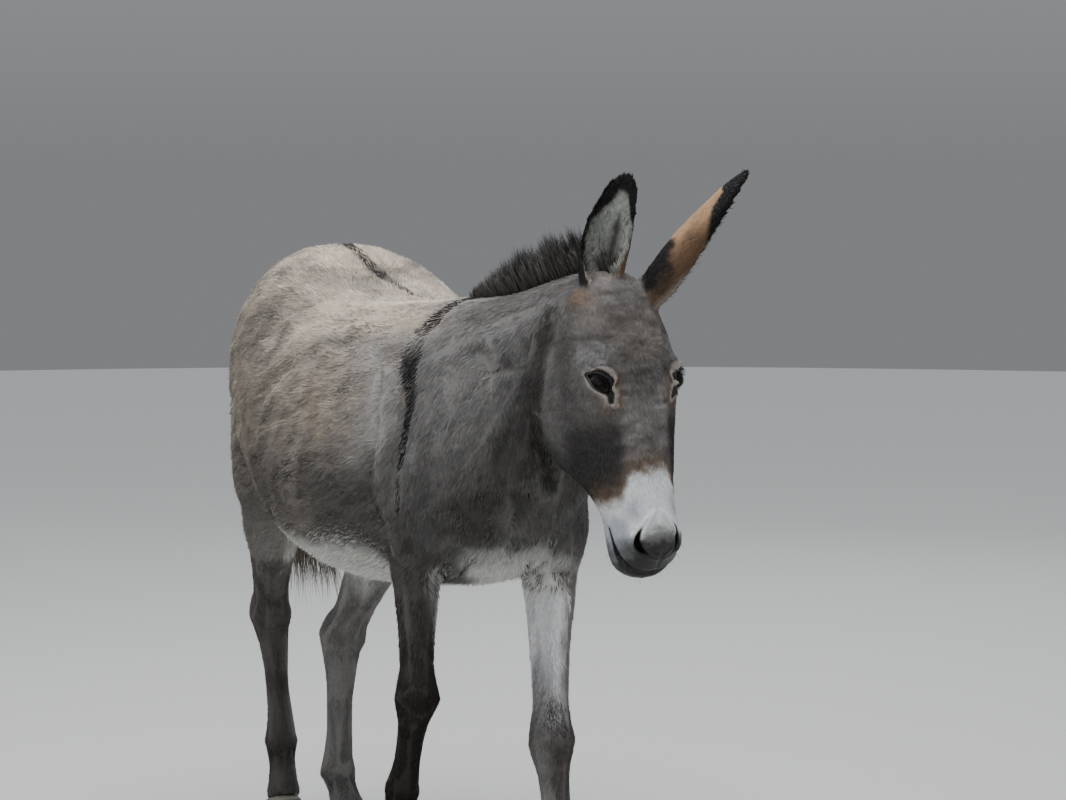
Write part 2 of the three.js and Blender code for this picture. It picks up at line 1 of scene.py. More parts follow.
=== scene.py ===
"""The looks of a life-size donkey in mid-stride.

One sculpted skin stands for all the flesh nodes. Over it lies a short coat of thin tufts that follow the
lie of the hair, with an upright mane, a tail switch, hair in the ears, lashes and whiskers as longer strands.
The eyes and hooves are pieces of their own. Metres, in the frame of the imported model. The head's own frame
and the CAD's own coordinates are in millimetres.
"""
import math
from types import SimpleNamespace

import bmesh
import bpy
import numpy as np
from mathutils import Matrix, Vector
from mathutils.bvhtree import BVHTree
from mathutils.kdtree import KDTree


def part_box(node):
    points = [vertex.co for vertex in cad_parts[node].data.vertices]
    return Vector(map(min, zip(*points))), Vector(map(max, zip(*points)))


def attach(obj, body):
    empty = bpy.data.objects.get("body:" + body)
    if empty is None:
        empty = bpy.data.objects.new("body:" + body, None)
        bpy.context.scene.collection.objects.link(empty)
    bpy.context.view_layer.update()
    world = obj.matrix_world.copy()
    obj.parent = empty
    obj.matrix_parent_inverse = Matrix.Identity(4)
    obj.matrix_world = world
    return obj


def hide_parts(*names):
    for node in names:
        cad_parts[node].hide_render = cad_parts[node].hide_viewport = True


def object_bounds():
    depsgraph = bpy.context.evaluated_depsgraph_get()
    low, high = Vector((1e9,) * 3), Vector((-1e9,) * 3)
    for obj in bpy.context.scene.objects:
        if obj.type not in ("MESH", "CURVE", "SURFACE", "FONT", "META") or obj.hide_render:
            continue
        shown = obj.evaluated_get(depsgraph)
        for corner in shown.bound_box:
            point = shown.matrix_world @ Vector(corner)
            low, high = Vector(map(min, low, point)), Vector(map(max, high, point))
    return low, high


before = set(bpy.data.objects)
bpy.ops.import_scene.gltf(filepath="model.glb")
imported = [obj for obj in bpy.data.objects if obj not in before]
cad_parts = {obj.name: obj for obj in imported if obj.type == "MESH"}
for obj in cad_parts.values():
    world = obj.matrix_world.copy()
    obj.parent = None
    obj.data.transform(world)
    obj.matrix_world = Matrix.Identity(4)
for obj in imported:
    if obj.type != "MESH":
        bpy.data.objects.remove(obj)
CAD_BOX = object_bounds()

# ---- driving values ----
MM = 0.001
HEAD_YAW, HEAD_TILT, HEAD_ROLL = (math.radians(a) for a in (14, 10, 1.5))
POLL_MM = (752, 120, 1204)  # in the CAD's own coordinates, as are the joints below
EYE_MM = (181, 75, -11)  # eyeball centre in the head's frame: down the face, to the side, out of the face
EYE_RADIUS = 20 * MM
VOXEL = 4.5 * MM
CLOSE_GAPS = 0.9 * MM  # growth of the flesh nodes before they are joined
SOCKET_ROOM = 2.2 * MM  # flesh over the eyeball, for the lids
LEGS = ("foreleg_left", "foreleg_right", "hindleg_left", "hindleg_right")
FLESH = ["trunk", "neck", "head", "chin", "ear_left", "ear_right", "tail_dock"]
FLESH += [f"{leg}_{part}" for leg in LEGS for part in ("upper", "lower")]
RNG = np.random.default_rng(11)


# ---- places ----
def unit(v):
    v = np.asarray(v, float)
    return v / np.maximum(np.linalg.norm(v, axis=-1, keepdims=True), 1e-12)


def dot(a, b):
    return np.einsum("...i,...i->...", a, b)


def head_axes():
    """The head's axes: down the face from the poll, to the animal's left, and out of the face."""
    heading = np.array([math.cos(HEAD_YAW), math.sin(HEAD_YAW), 0])
    up = np.array([0.0, 0.0, 1.0])
    down = heading * math.sin(HEAD_TILT) - up * math.cos(HEAD_TILT)
    out = heading * math.cos(HEAD_TILT) + up * math.sin(HEAD_TILT)
    left = np.cross(out, down)
    roll = np.array(Matrix.Rotation(HEAD_ROLL, 3, Vector(out)))
    return np.stack([roll @ down, roll @ left, out])


def middle(node):
    low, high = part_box(node)
    return np.array((low + high) / 2)


HEAD_AXES = head_axes()
EYE_DOWN, EYE_SIDE, EYE_FRONT = EYE_MM
BETWEEN_EYES = (middle("eye_left") + middle("eye_right")) / 2
POLL = BETWEEN_EYES - np.array([EYE_DOWN, 0, EYE_FRONT]) * MM @ HEAD_AXES
SHIFT = POLL - np.array(POLL_MM) * MM  # from the CAD's own coordinates to the frame


def cad(*place):
    """A place given in the CAD's own millimetres, in the frame."""
    return np.array(place, float) * MM + SHIFT


def in_head(points):
    """Places in the head's frame, in millimetres."""
    return (points - POLL) @ HEAD_AXES.T / MM


def from_head(*place):
    return POLL + np.array(place, float) * MM @ HEAD_AXES


def eye_centre(side):
    """The middle of an eyeball, on the left where `side` is 1 and on the right where it is -1."""
    return from_head(EYE_DOWN, side * EYE_SIDE, EYE_FRONT)


MID_Y = float(cad(0, 0, 0)[1])

JOINT_PLACES = {  # elbow or stifle, knee or hock, fetlock, and the crown of the hoof
    "foreleg_left": ((368, 140, 668), (480, 98, 366), (522, 98, 150), (572, 98, 62)),
    "foreleg_right": ((352, -106, 690), (498, -160, 466), (402, -152, 282), (342, -148, 212)),
    "hindleg_left": ((-375, 102, 670), (-492, 30, 402), (-468, 13, 132), (-404, 13, 62)),
    "hindleg_right": ((-430, -134, 690), (-620, -83, 440), (-612, -64, 174), (-582, -70, 62)),
}
JOINTS = {leg: dict(zip(("elbow", "knee", "fetlock", "crown"), row)) for leg, row in JOINT_PLACES.items()}
EARS = {
    "ear_right": dict(base=(732, 74, 1146), tip=(688, 152, 1370), facing=(0.85, -0.5, 0.1)),
    "ear_left": dict(base=(734, 158, 1150), tip=(735, 354, 1370), facing=(-0.05, 0.9, -0.3)),
}


# ---- smooth steps, noise and lines ----
def step(low, high, values):
    t = np.clip((values - low) / (high - low), 0, 1)
    return t * t * (3 - 2 * t)


def bell(distance, width):
    return np.exp(-((distance / width) ** 2))


LATTICE = RNG.random((32, 32, 32))


def noise(points, size, seed=0):
    """Smooth values from -1 to 1 that change over about `size`, a number or one for each axis."""
    q = points / np.asarray(size) + 7.3 * seed + 0.37
    cell = np.floor(q).astype(int)
    t = q - cell
    t = t * t * (3 - 2 * t)
    total = np.zeros(len(points))
    for corner in np.ndindex(2, 2, 2):
        share = np.prod(np.where(corner, t, 1 - t), axis=1)
        total += share * LATTICE[tuple(((cell + corner) % 32).T)]
    return 2 * total - 1


def rough(points, size, octaves=3, seed=0):
    total = np.zeros(len(points))
    for k in range(octaves):
        total += noise(points, np.asarray(size) / 2**k, seed + k) / 1.7**k
    return total


def along(points, path):
    """The distance of each point to a line through `path`, and the share of the way along it."""
    path = np.asarray(path, float)
    best = np.full(len(points), np.inf)
    share = np.zeros(len(points))
    for k in range(len(path) - 1):
        leg = path[k + 1] - path[k]
        t = np.clip((points - path[k]) @ leg / (leg @ leg), 0, 1)
        gap = np.linalg.norm(points - path[k] - t[:, None] * leg, axis=1)
        nearer = gap < best
        best = np.where(nearer, gap, best)
        share = np.where(nearer, (k + t) / (len(path) - 1), share)
    return best, share


def mirrored(path, mid):
    """The same path on the other side of the plane at y = `mid`."""
    path = np.array(path, float)
    path[:, 1] = 2 * mid - path[:, 1]
    return path


def both_ways(path, mid):
    """A path of the CAD's own places in the frame, and its mirror image unless `mid` is None."""
    stations = [cad(*place) for place in path]
    return [stations] if mid is None else [stations, mirrored(stations, mid)]


def square_part(vectors, axis):
    """What is left of each vector when its part along `axis` is taken away."""
    return vectors - (vectors @ axis)[:, None] * axis


def hand_of(name):
    return 1 if name.endswith("left") else -1


def blend(base, colour, share):
    """Mixes one colour, or one for each point, into another."""
    return base + (np.asarray(colour) - base) * np.asarray(share)[:, None]


# ---- meshes as arrays ----
def read_mesh(mesh):
    mesh.calc_loop_triangles()
    points = np.empty(len(mesh.vertices) * 3)
    mesh.vertices.foreach_get("co", points)
    faces = np.empty(len(mesh.loop_triangles) * 3, np.int32)
    mesh.loop_triangles.foreach_get("vertices", faces)
    return points.reshape(-1, 3), faces.reshape(-1, 3)


def welded(points, faces):
    """The same surface with its vertices joined where they lie at one place."""
    _, first, back = np.unique(np.round(points, 6), axis=0, return_index=True, return_inverse=True)
    faces = back.reshape(-1)[faces]
    whole = (faces[:, 0] != faces[:, 1]) & (faces[:, 1] != faces[:, 2]) & (faces[:, 0] != faces[:, 2])
    return points[first], faces[whole]


def normals_of(points, faces):
    """Vertex normals, weighted by area."""
    a, b, c = (points[faces[:, k]] for k in range(3))
    flat = np.cross(b - a, c - a)
    total = np.zeros_like(points)
    for axis in range(3):
        for k in range(3):
            total[:, axis] += np.bincount(faces[:, k], flat[:, axis], len(points))
    return unit(total)


def new_object(name, points, faces):
    """An object from arrays. Faces are one array, or several of different widths."""
    mesh = bpy.data.meshes.new(name)
    groups = faces if isinstance(faces, list) else [faces]
    loops = np.concatenate([g.ravel() for g in groups]).astype(np.int32)
    sizes = np.concatenate([np.full(len(g), g.shape[1], np.int32) for g in groups])
    starts = np.concatenate([[0], np.cumsum(sizes)[:-1]]).astype(np.int32)
    mesh.vertices.add(len(points))
    mesh.vertices.foreach_set("co", np.asarray(points, np.float32).ravel())
    mesh.loops.add(len(loops))
    mesh.loops.foreach_set("vertex_index", loops)
    mesh.polygons.add(len(sizes))
    mesh.polygons.foreach_set("loop_start", starts)
    mesh.update(calc_edges=True)
    mesh.validate()
    mesh.polygons.foreach_set("use_smooth", np.ones(len(mesh.polygons), bool))
    piece = bpy.data.objects.new(name, mesh)
    bpy.context.collection.objects.link(piece)
    return piece


def applied(piece):
    """The piece's mesh with its modifiers in it."""
    evaluated = piece.evaluated_get(bpy.context.evaluated_depsgraph_get())
    mesh = bpy.data.meshes.new_from_object(evaluated)
    piece.modifiers.clear()
    old = piece.data
    piece.data = mesh
    bpy.data.meshes.remove(old)
    return mesh


def remeshed(points, faces, voxel):
    """One closed surface round everything given, as arrays of triangles."""
    piece = new_object("remesh", points, faces)
    change = piece.modifiers.new("voxels", "REMESH")
    change.mode = "VOXEL"
    change.voxel_size = voxel
    mesh = applied(piece)
    result = read_mesh(mesh)
    bpy.data.objects.remove(piece)
    return result


class Net:
    """Each vertex's neighbours, for smoothing."""

    def __init__(self, faces, count):
        pairs = np.concatenate([faces[:, [0, 1]], faces[:, [1, 2]], faces[:, [2, 0]]]).astype(np.int64)
        pairs = np.unique(np.concatenate([pairs @ (count, 1), pairs @ (1, count)]))
        self.near = pairs % count
        self.start = np.searchsorted(pairs, np.arange(count) * count)
        self.share = 1 / np.maximum(np.bincount(pairs // count, minlength=count), 1)

    def mean(self, values):
        total = np.add.reduceat(values[self.near], self.start, axis=0)
        return total * (self.share[:, None] if values.ndim == 2 else self.share)

    def spread(self, values, rounds):
        for _ in range(rounds):
            values = (values + self.mean(values)) / 2
        return values

    def relax(self, points, rounds, share=1.0):
        """Smooths without shrinking."""
        share = np.broadcast_to(share, (len(points),))[:, None]
        for _ in range(rounds):
            points = points + 0.6 * share * (self.mean(points) - points)
            points = points - 0.61 * share * (self.mean(points) - points)
        return points


def refined(points, faces, wanted, values):
    """Splits the wanted triangles into four, and carries the values at the corners along."""
    piece = new_object("refine", points, faces)
    mesh = piece.data
    for name, value in values.items():
        mesh.attributes.new(name, "FLOAT", "POINT").data.foreach_set("value", value.astype(np.float32))
    bm = bmesh.new()
    bm.from_mesh(mesh)
    bm.verts.index_update()
    edges = [e for e in bm.edges if wanted[e.verts[0].index] and wanted[e.verts[1].index]]
    bmesh.ops.subdivide_edges(bm, edges=edges, cuts=1, use_grid_fill=True)
    bmesh.ops.triangulate(bm, faces=bm.faces)
    bm.to_mesh(mesh)
    bm.free()
    points, faces = read_mesh(mesh)
    carried = {}
    for name in values:
        carried[name] = np.empty(len(points), np.float32)
        mesh.attributes[name].data.foreach_get("value", carried[name])
    bpy.data.objects.remove(piece)
    return points, faces, carried


# ---- the flesh as one surface ----
def ball(centre, radii, axes=np.eye(3), around=24, rows=14):
    """A closed ellipsoid."""
    points = [np.array([0, 0, 1.0])]
    for i in range(1, rows):
        for j in range(around):
            polar, turn = math.pi * i / rows, 2 * math.pi * j / around
            level = math.sin(polar)
            points.append(np.array([level * math.cos(turn), level * math.sin(turn), math.cos(polar)]))
    points.append(np.array([0, 0, -1.0]))
    faces = []
    for j in range(around):
        k = (j + 1) % around
        faces.append((0, 1 + j, 1 + k))
        for i in range(rows - 2):
            a, b = 1 + i * around + j, 1 + i * around + k
            faces += [(a, a + around, b + around), (a, b + around, b)]
        foot = 1 + (rows - 2) * around
        faces.append((foot + j, len(points) - 1, foot + k))
    return centre + (np.array(points) * radii) @ axes, np.array(faces, np.int32)


def flesh_surface():
    """All flesh nodes, grown until they meet, with the eye sockets filled for the lids to be cut from."""
    points, faces, count = [], [], 0
    for name in FLESH:
        p, f = welded(*read_mesh(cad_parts[name].data))
        points.append(p + CLOSE_GAPS * normals_of(p, f))
        faces.append(f + count)
        count += len(p)
    for side in (1, -1):
        p, f = ball(eye_centre(side), EYE_RADIUS + SOCKET_ROOM)
        points.append(p)
        faces.append(f + count)
        count += len(p)
    return remeshed(np.concatenate(points), np.concatenate(faces), VOXEL)


def node_shares(points, net):
    """How much each point belongs to each flesh node, fading across the joins."""
    corners, triangles, owner, count = [], [], [], 0
    for index, name in enumerate(FLESH):
        p, f = read_mesh(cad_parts[name].data)
        corners.append(p)
        triangles.append(f + count)
        owner += [index] * len(f)
        count += len(p)
    tree = BVHTree.FromPolygons(np.concatenate(corners).tolist(), np.concatenate(triangles).tolist())
    nearest = np.array([tree.find_nearest(p)[2] for p in points.tolist()])
    shares = (np.array(owner)[nearest][:, None] == np.arange(len(FLESH))).astype(np.float32)
    return dict(zip(FLESH, net.spread(shares, 10).T))


def grouped(shares):
    """The shares with the sums that the coat is planned by."""
    sums = dict(shares)
    sums["hide"] = shares["trunk"] + shares["neck"]
    sums["head"] = shares["head"] + shares["chin"]
    sums["ear"] = shares["ear_left"] + shares["ear_right"]
    sums["thigh"] = sum(shares[f"{leg}_upper"] for leg in LEGS)
    sums["shank"] = sum(shares[f"{leg}_lower"] for leg in LEGS)
    return sums


# ---- sculpting ----
EYE_AXIS = unit([0.11, 0.75, 0.65])  # the way each eye looks: down the face, to its side, out of the face
FISSURE = unit([0.73, -0.52, 0.45])  # from the eye's outer corner to its inner one
LID = EYE_RADIUS / MM + 1.5
APERTURE = 22.0  # half the length of the opening between the lids
OPENING_MIDDLE = -2.0  # towards the inner corner, from the eyeball's middle
UPPER_LID = 17.5  # height of the opening above that middle, and below it
LOWER_LID = 4.0
TEAR_PATH = [(17, 3, 0), (26, 1, 0), (34, -9, 0)]  # the inner corner, across the lids
NOSTRIL = np.array([448, 38, -5])
TEMPLE_CREASE = [(100, 86, 0), (104, 50, 0)]
UNDER_NOSTRIL = [(455, 38, -6), (470, 33, -9), (486, 24, -16)]
MOUTH = dict(corner=418, front=-50, slope=-0.285)
MOUTH_WIDTH = ((410, 440, 470, 492), (1.0, 2.2, 5.5, 6.0))  # down the face, half the gap between the lips
WHORL = (122, -4, 24)


def eye_axes(side):
    """An eye's axes in the head's frame: towards its inner corner, up across the lids, and outwards."""
    flip = np.array([1, side, 1])
    axis, u = EYE_AXIS * flip, FISSURE * flip
    u = unit(u - axis * (u @ axis))
    return u, np.cross(u, axis) * side, axis


def eye_frame(head, side):
    """Places round one eye in millimetres, along its axes."""
    rel = head - np.array([EYE_DOWN, side * EYE_SIDE, EYE_FRONT])
    return [rel @ axis for axis in eye_axes(side)]


def lid_gap(u, v):
    """The distance outside the opening between the lids, below 0 within it."""
    u = u - OPENING_MIDDLE
    s = np.clip(u / APERTURE, -1, 1)
    room = np.maximum(1 - s * s, 0)
    upper = UPPER_LID * room**0.5 * (1 + 0.15 * s)
    lower = -LOWER_LID * room * (1 + 0.1 * s)
    beyond = np.hypot(np.maximum(np.abs(u) - APERTURE, 0), v)
    return np.where(np.abs(u) < APERTURE, np.maximum(v - upper, lower - v), beyond)


def tear_gap(u, v):
    """The distance in millimetres from the middle of the eye's inner corner."""
    return along(np.stack([u, v, np.zeros(len(u))], axis=1), TEAR_PATH)[0]


def eye_gap(head):
    """The distance in millimetres outside the nearer eye's opening, and places across it."""
    result = None
    for side in (1, -1):
        u, v, w = eye_frame(head, side)
        near = (head[:, 1] * side > 20) & (w > -14)
        gap = np.where(near, lid_gap(u, v), 999)
        here = (u, v, w, gap)
        if result is None:
            result = here
        else:
            nearer = gap < result[3]
            result = tuple(np.where(nearer, a, b) for a, b in zip(here, result))
    return result


def mouth_line(head):
    """The distance in millimetres from the plane between the lips, which ends at the mouth's corner."""
    down, _, out = head.T
    gap = (out - MOUTH["front"] + MOUTH["slope"] * (down - MOUTH["corner"])) / math.hypot(1, MOUTH["slope"])
    return np.hypot(gap, np.maximum(MOUTH["corner"] - down, 0))


def nostril_frame(head, side):
    """Places round one nostril in millimetres: down its slit, across it towards the middle, and out of it."""
    axis = unit([0.1, 0.42 * side, 0.9])
    slit = unit(np.array([0.977, -0.212 * side, 0]))
    slit = unit(slit - axis * (slit @ axis))
    across = np.cross(axis, slit) * -side
    rel = head - NOSTRIL * (1, side, 1)
    return rel @ slit, rel @ across, rel @ axis


def nostril_pit(s, a):
    """How far out a place is from the middle of a nostril's slit, 1 at its edge."""
    return np.hypot(s / 20, (a + 4.5 - 8.5 * (s / 18) ** 2) / 5.0)


def sculpt_eyes(points):
    head = in_head(points)
    moved = points.copy()
    for side in (1, -1):
        u, v, w = eye_frame(head, side)
        r = np.hypot(u, v)
        near = (r < 44) & (w > -14) & (head[:, 1] * side > 20)
        bend = 0.8 * LID
        over = np.sqrt(LID**2 - np.minimum(r, bend) ** 2) - 0.9 * np.maximum(r - bend, 0)
        hug = 1 - step(17, 31, r)
        target = w + (over - w) * hug
        gap = lid_gap(u, v)
        # The lids stand proud at their margins, fold above and below, and open on the eyeball.
        target += 0.9 * bell(gap - 2, 1.6) * (r < 27)
        target -= 1.8 * bell(gap - 7.5, 1.5) * step(1, 5, v) * (1 - step(24, 32, r))
        target += 2.6 * bell(gap - 13, 4.5) * step(2, 10, v)
        target -= 0.9 * bell(gap - 6, 1.3) * step(1, 5, -v) * (1 - step(18, 26, r))
        target -= 0.6 * bell(gap - 10, 1.5) * step(2, 6, -v) * (1 - step(20, 28, r))
        target -= 3.4 * bell(tear_gap(u, v), 2.8)
        target = np.where(gap < 0, target - 12 * step(0, 2.2, -gap), target)
        shift = np.where(near, target - w, 0) * (1 - step(35, 44, r))
        axis = EYE_AXIS * (1, side, 1) @ HEAD_AXES
        moved += (shift * MM)[:, None] * axis
    return moved


def sculpt_muzzle(points, normal):
    head = in_head(points)
    push = np.zeros(len(points))
    for side in (1, -1):
        s, a, w = nostril_frame(head, side)
        near = (np.abs(w) < 26) & (head[:, 1] * side > 5)
        pit = nostril_pit(s, a)
        push += near * (-12 * (1 - step(0.45, 1.2, pit)))
        push += near * 2.0 * bell(pit - 2.0, 0.8) * step(-4, 8, a)
        push += near * 4.2 * bell(pit - 2.1, 0.8) * step(0, -10, a)
    pad = np.hypot((head[:, 0] - 458) / 0.95, head[:, 1] / 1.15)
    push += (2.6 * bell(pad, 20) - 1.3 * bell(pad - 33, 6) * step(458, 440, head[:, 0])) * (head[:, 2] > -25)
    line = mouth_line(head)
    lips = step(380, 410, head[:, 0]) * (1 - step(496, 512, head[:, 0]))
    push -= 4.5 * bell(line, np.interp(head[:, 0], *MOUTH_WIDTH)) * lips
    push += 1.4 * bell(line - 9, 4.0) * lips
    chin_groove = bell(np.hypot(head[:, 0] - 505, 2 * (head[:, 2] + 30)), 14)
    push -= 1.5 * chin_groove
    # The furrow down the upper lip, and the crest under each eye.
    push -= 1.2 * bell(head[:, 1], 3.5) * step(455, 475, head[:, 0]) * (head[:, 2] > -30)
    for side in (1, -1):
        crest = [(215, 92 * side, -22), (270, 84 * side, -26), (330, 72 * side, -28)]
        push += 3.0 * bell(along(head, crest)[0], 9)
        hollow = [(228, 66 * side, 6), (290, 56 * side, 2), (345, 52 * side, -4)]
        push -= 2.4 * bell(along(head, hollow)[0], 14)
        temple = [(105, 74 * side, -22), (150, 92 * side, -48)]
        push -= 3.0 * bell(along(head, temple)[0], 14)
    return points + push[:, None] * MM * normal


# Height and width in millimetres, then the right side's stations. The left side has their mirror image.
BODY_FORMS = [
    (8, 42, [(-300, -176, 1128)]),  # point of the hip
    (-9, 56, [(-165, -212, 1052), (-235, -205, 1040)]),  # hollow of the flank
    (6, 40, [(-640, -66, 1010)]),  # point of the buttock
    (6, 52, [(-395, -195, 752)]),  # stifle
    (-9, 24, [(-20, -232, 1010), (-92, -255, 940), (-122, -262, 868), (-134, -256, 795), (-112, -236, 715)]),
    # rear edge of the belly
    (4, 26, [(34, -226, 996), (-40, -258, 930), (-70, -266, 870), (-84, -260, 797), (-64, -236, 719)]),
    (-5, 30, [(96, -160, 1060), (169, -130, 1083), (225, -104, 1100)]),  # behind the withers
    (4, 26, [(-110, -190, 1082), (15, -100, 1116), (150, -60, 1128)]),
    (-5, 22, [(296, -160, 1000), (318, -172, 930)]),
    (4, 22, [(346, -144, 1013), (360, -167, 927), (357, -176, 862)]),  # rear edge of the shoulder blade
    (-10, 20, [(318, -178, 905), (298, -184, 830), (292, -178, 770), (330, -166, 712)]),
    (8, 26, [(384, -168, 890), (370, -178, 822), (368, -172, 770), (408, -156, 712)]),  # triceps
    # spine of the shoulder blade
    (4, 17, [(478, -108, 1042), (497, -120, 1006), (519, -133, 948), (516, -140, 890)]),
    (-4, 18, [(438, -120, 1020), (452, -140, 940), (455, -150, 890)]),
    (7, 50, [(465, -148, 815)]),  # point of the shoulder
    (-4, 26, [(-455, -205, 980), (-500, -190, 880), (-520, -150, 760)]),
    (6, 20, [(-128, -236, 706), (-210, -226, 690), (-300, -196, 672)]),  # fold of the flank
    (8, 34, [(556, -52, 742)]),  # breast
    (-3, 14, [(-520, -3, 1190), (-420, 2, 1216), (-300, 8, 1203), (-200, 8, 1177)]),
]
RELIEF = 1.4  # multiplies the forms of body and neck
RIB_FORM = (2.4, 15)
RIBS = 7
NECK_MIDDLE = cad(0, 30, 0)[1]
# Where the cheek stands off the neck: stations in the head's frame, then the hollow's height and width.
JOWL = [
    (56, 86, -118), (99, 98, -130), (147, 105, -147), (196, 105, -163), (241, 96, -175), (281, 78, -188),
    (321, 50, -205),
]
JOWL_FORM = (-9, 15)
NECK_FORMS = [
    # groove of the jugular vein
    (-8, 20, [(646, -20, 1081), (648, -30, 1014), (643, -37, 963), (629, -55, 904), (614, -68, 861)]),
    (5, 28, [(606, -58, 1050), (606, -72, 1000), (600, -82, 940), (585, -92, 880), (560, -105, 820)]),
    # crease behind the cheek
    (-5, 13, [(540, -78, 1068), (558, -70, 1057), (596, -61, 1040), (627, -42, 1046), (644, -22, 1077)]),
    (4, 26, [(560, -58, 1092), (596, -44, 1086)]),
    (4, 18, [(668, 22, 1040), (662, 8, 950), (650, 2, 880)]),  # windpipe
]
MIDDLE_FORMS = [  # these have no mirror image
    (-8, 14, [(628, 0, 822), (602, 2, 756), (545, 0, 702)]),
    (2.2, 5, [(618, -60, 818), (626, -16, 838), (622, 30, 850)]),  # folds across the breast
    (2.2, 5, [(600, -66, 792), (616, -18, 806), (612, 34, 824)]),
    (-5, 7, [(511, -66, 699), (449, -61, 666)]),  # creases where the forelegs join it
    (-5, 7, [(512, 47, 689), (462, 56, 664)]),
]
# Bumps and hollows on the legs: joint, down the bone, to the front and to both sides, radius, height.
LEG_FORMS = dict(
    foreleg=[
        ("knee", -18, 38, 0, 20, 2.5), ("knee", 26, 36, 0, 16, 2.2), ("knee", 4, -50, 0, 16, 5),
        ("knee", -4, 12, 36, 16, 3), ("knee", -60, 24, 10, 26, 2), ("fetlock", -6, -12, 30, 15, 2.6),
        ("fetlock", 12, -34, 0, 16, 4), ("elbow", 70, 30, 0, 44, 4),
    ],
    hindleg=[
        ("knee", -35, -50, 0, 24, 6), ("knee", -90, -12, 30, 26, -6), ("knee", 20, 36, 0, 20, -3),
        ("knee", 0, 6, 34, 18, 3), ("fetlock", -6, -12, 30, 15, 2.6), ("fetlock", 12, -34, 0, 16, 4),
        ("elbow", 60, 10, 40, 50, 4),
    ],
)
TENDON_GROOVE = (-3.4, 7)  # height and width of the groove on each side of a cannon bone
SIDEWAYS = np.array([0.0, 1.0, 0.0])


def pushed(points, forms, mid=None):
    """The height at each point of ridges and hollows along paths, mirrored where there is a middle."""
    push = np.zeros(len(points))
    for height, width, path in forms:
        for way in both_ways(path, mid):
            push += height * bell(along(points, way)[0], width * MM)
    return push


def jowl_gap(points):
    """The distance in millimetres from the nearer cheek's rear edge."""
    edges = [[from_head(down, side * hand, out) for down, side, out in JOWL] for hand in (1, -1)]
    return np.minimum(*(along(points, edge)[0] for edge in edges)) / MM


def bone_axes(start, end):
    """The way down a bone, and the way out of its front."""
    bone = unit(end - start)
    return bone, -unit(np.cross(SIDEWAYS, bone))


def leg_push(points, name, joint):
    """The height at each point of one leg's bumps and hollows."""
    push = np.zeros(len(points))
    place = {k: cad(*joint[k]) for k in ("elbow", "knee", "fetlock")}
    upper = bone_axes(place["elbow"], place["knee"])
    lower = bone_axes(place["knee"], place["fetlock"])
    for kind, down, front, out, radius, height in LEG_FORMS[name.split("_")[0]]:
        bone, ahead = upper if kind == "elbow" else lower
        for hand in ((1, -1) if out else (1,)):
            spot = place[kind] + (bone * down + ahead * front + SIDEWAYS * out * hand) * MM
            push += height * bell(np.linalg.norm(points - spot, axis=1), radius * MM)
    bone, ahead = lower
    height, width = TENDON_GROOVE
    for hand in (1, -1):
        top = place["knee"] + (bone * 60 + SIDEWAYS * 26 * hand - ahead * 6) * MM
        low = place["fetlock"] + (bone * -50 + SIDEWAYS * 24 * hand - ahead * 8) * MM
        push += height * bell(along(points, [top, low])[0], width * MM)
    return push


def sculpt_body(points, normal):
    push = RELIEF * pushed(points, BODY_FORMS, MID_Y)
    ribs = []
    for k in range(RIBS):
        rib = [(215 - 58 * k, -190, 1050), (190 - 56 * k, -252, 900), (130 - 54 * k, -250, 730)]
        ribs.append((*RIB_FORM, rib))
    push += pushed(points, ribs, MID_Y)
    push += RELIEF * pushed(points, NECK_FORMS, NECK_MIDDLE)
    push += pushed(points, MIDDLE_FORMS)
    push += JOWL_FORM[0] * bell(jowl_gap(points), JOWL_FORM[1])
    for name, joint in JOINTS.items():
        push += leg_push(points, name, joint)
    return points + push[:, None] * MM * normal


EAR_END = 0.87  # the share up an ear where its round end starts, and where it closes
EAR_LAST = 1.02


def round_tips(points, shares):
    """Rounds the ends of the ears."""
    points = points.copy()
    for name in EARS:
        share = ear_place(points, name)[0]
        end = (shares[name] > 0.4) & (share > EAR_END)
        centre = points[end].mean(axis=0)
        level = square_part(points[end] - centre, ear_axes(name).up)
        narrow = np.sqrt(np.clip(1 - ((share[end] - EAR_END) / (EAR_LAST - EAR_END)) ** 2, 0.02, 1))
        points[end] -= level * (1 - narrow)[:, None]
    return points


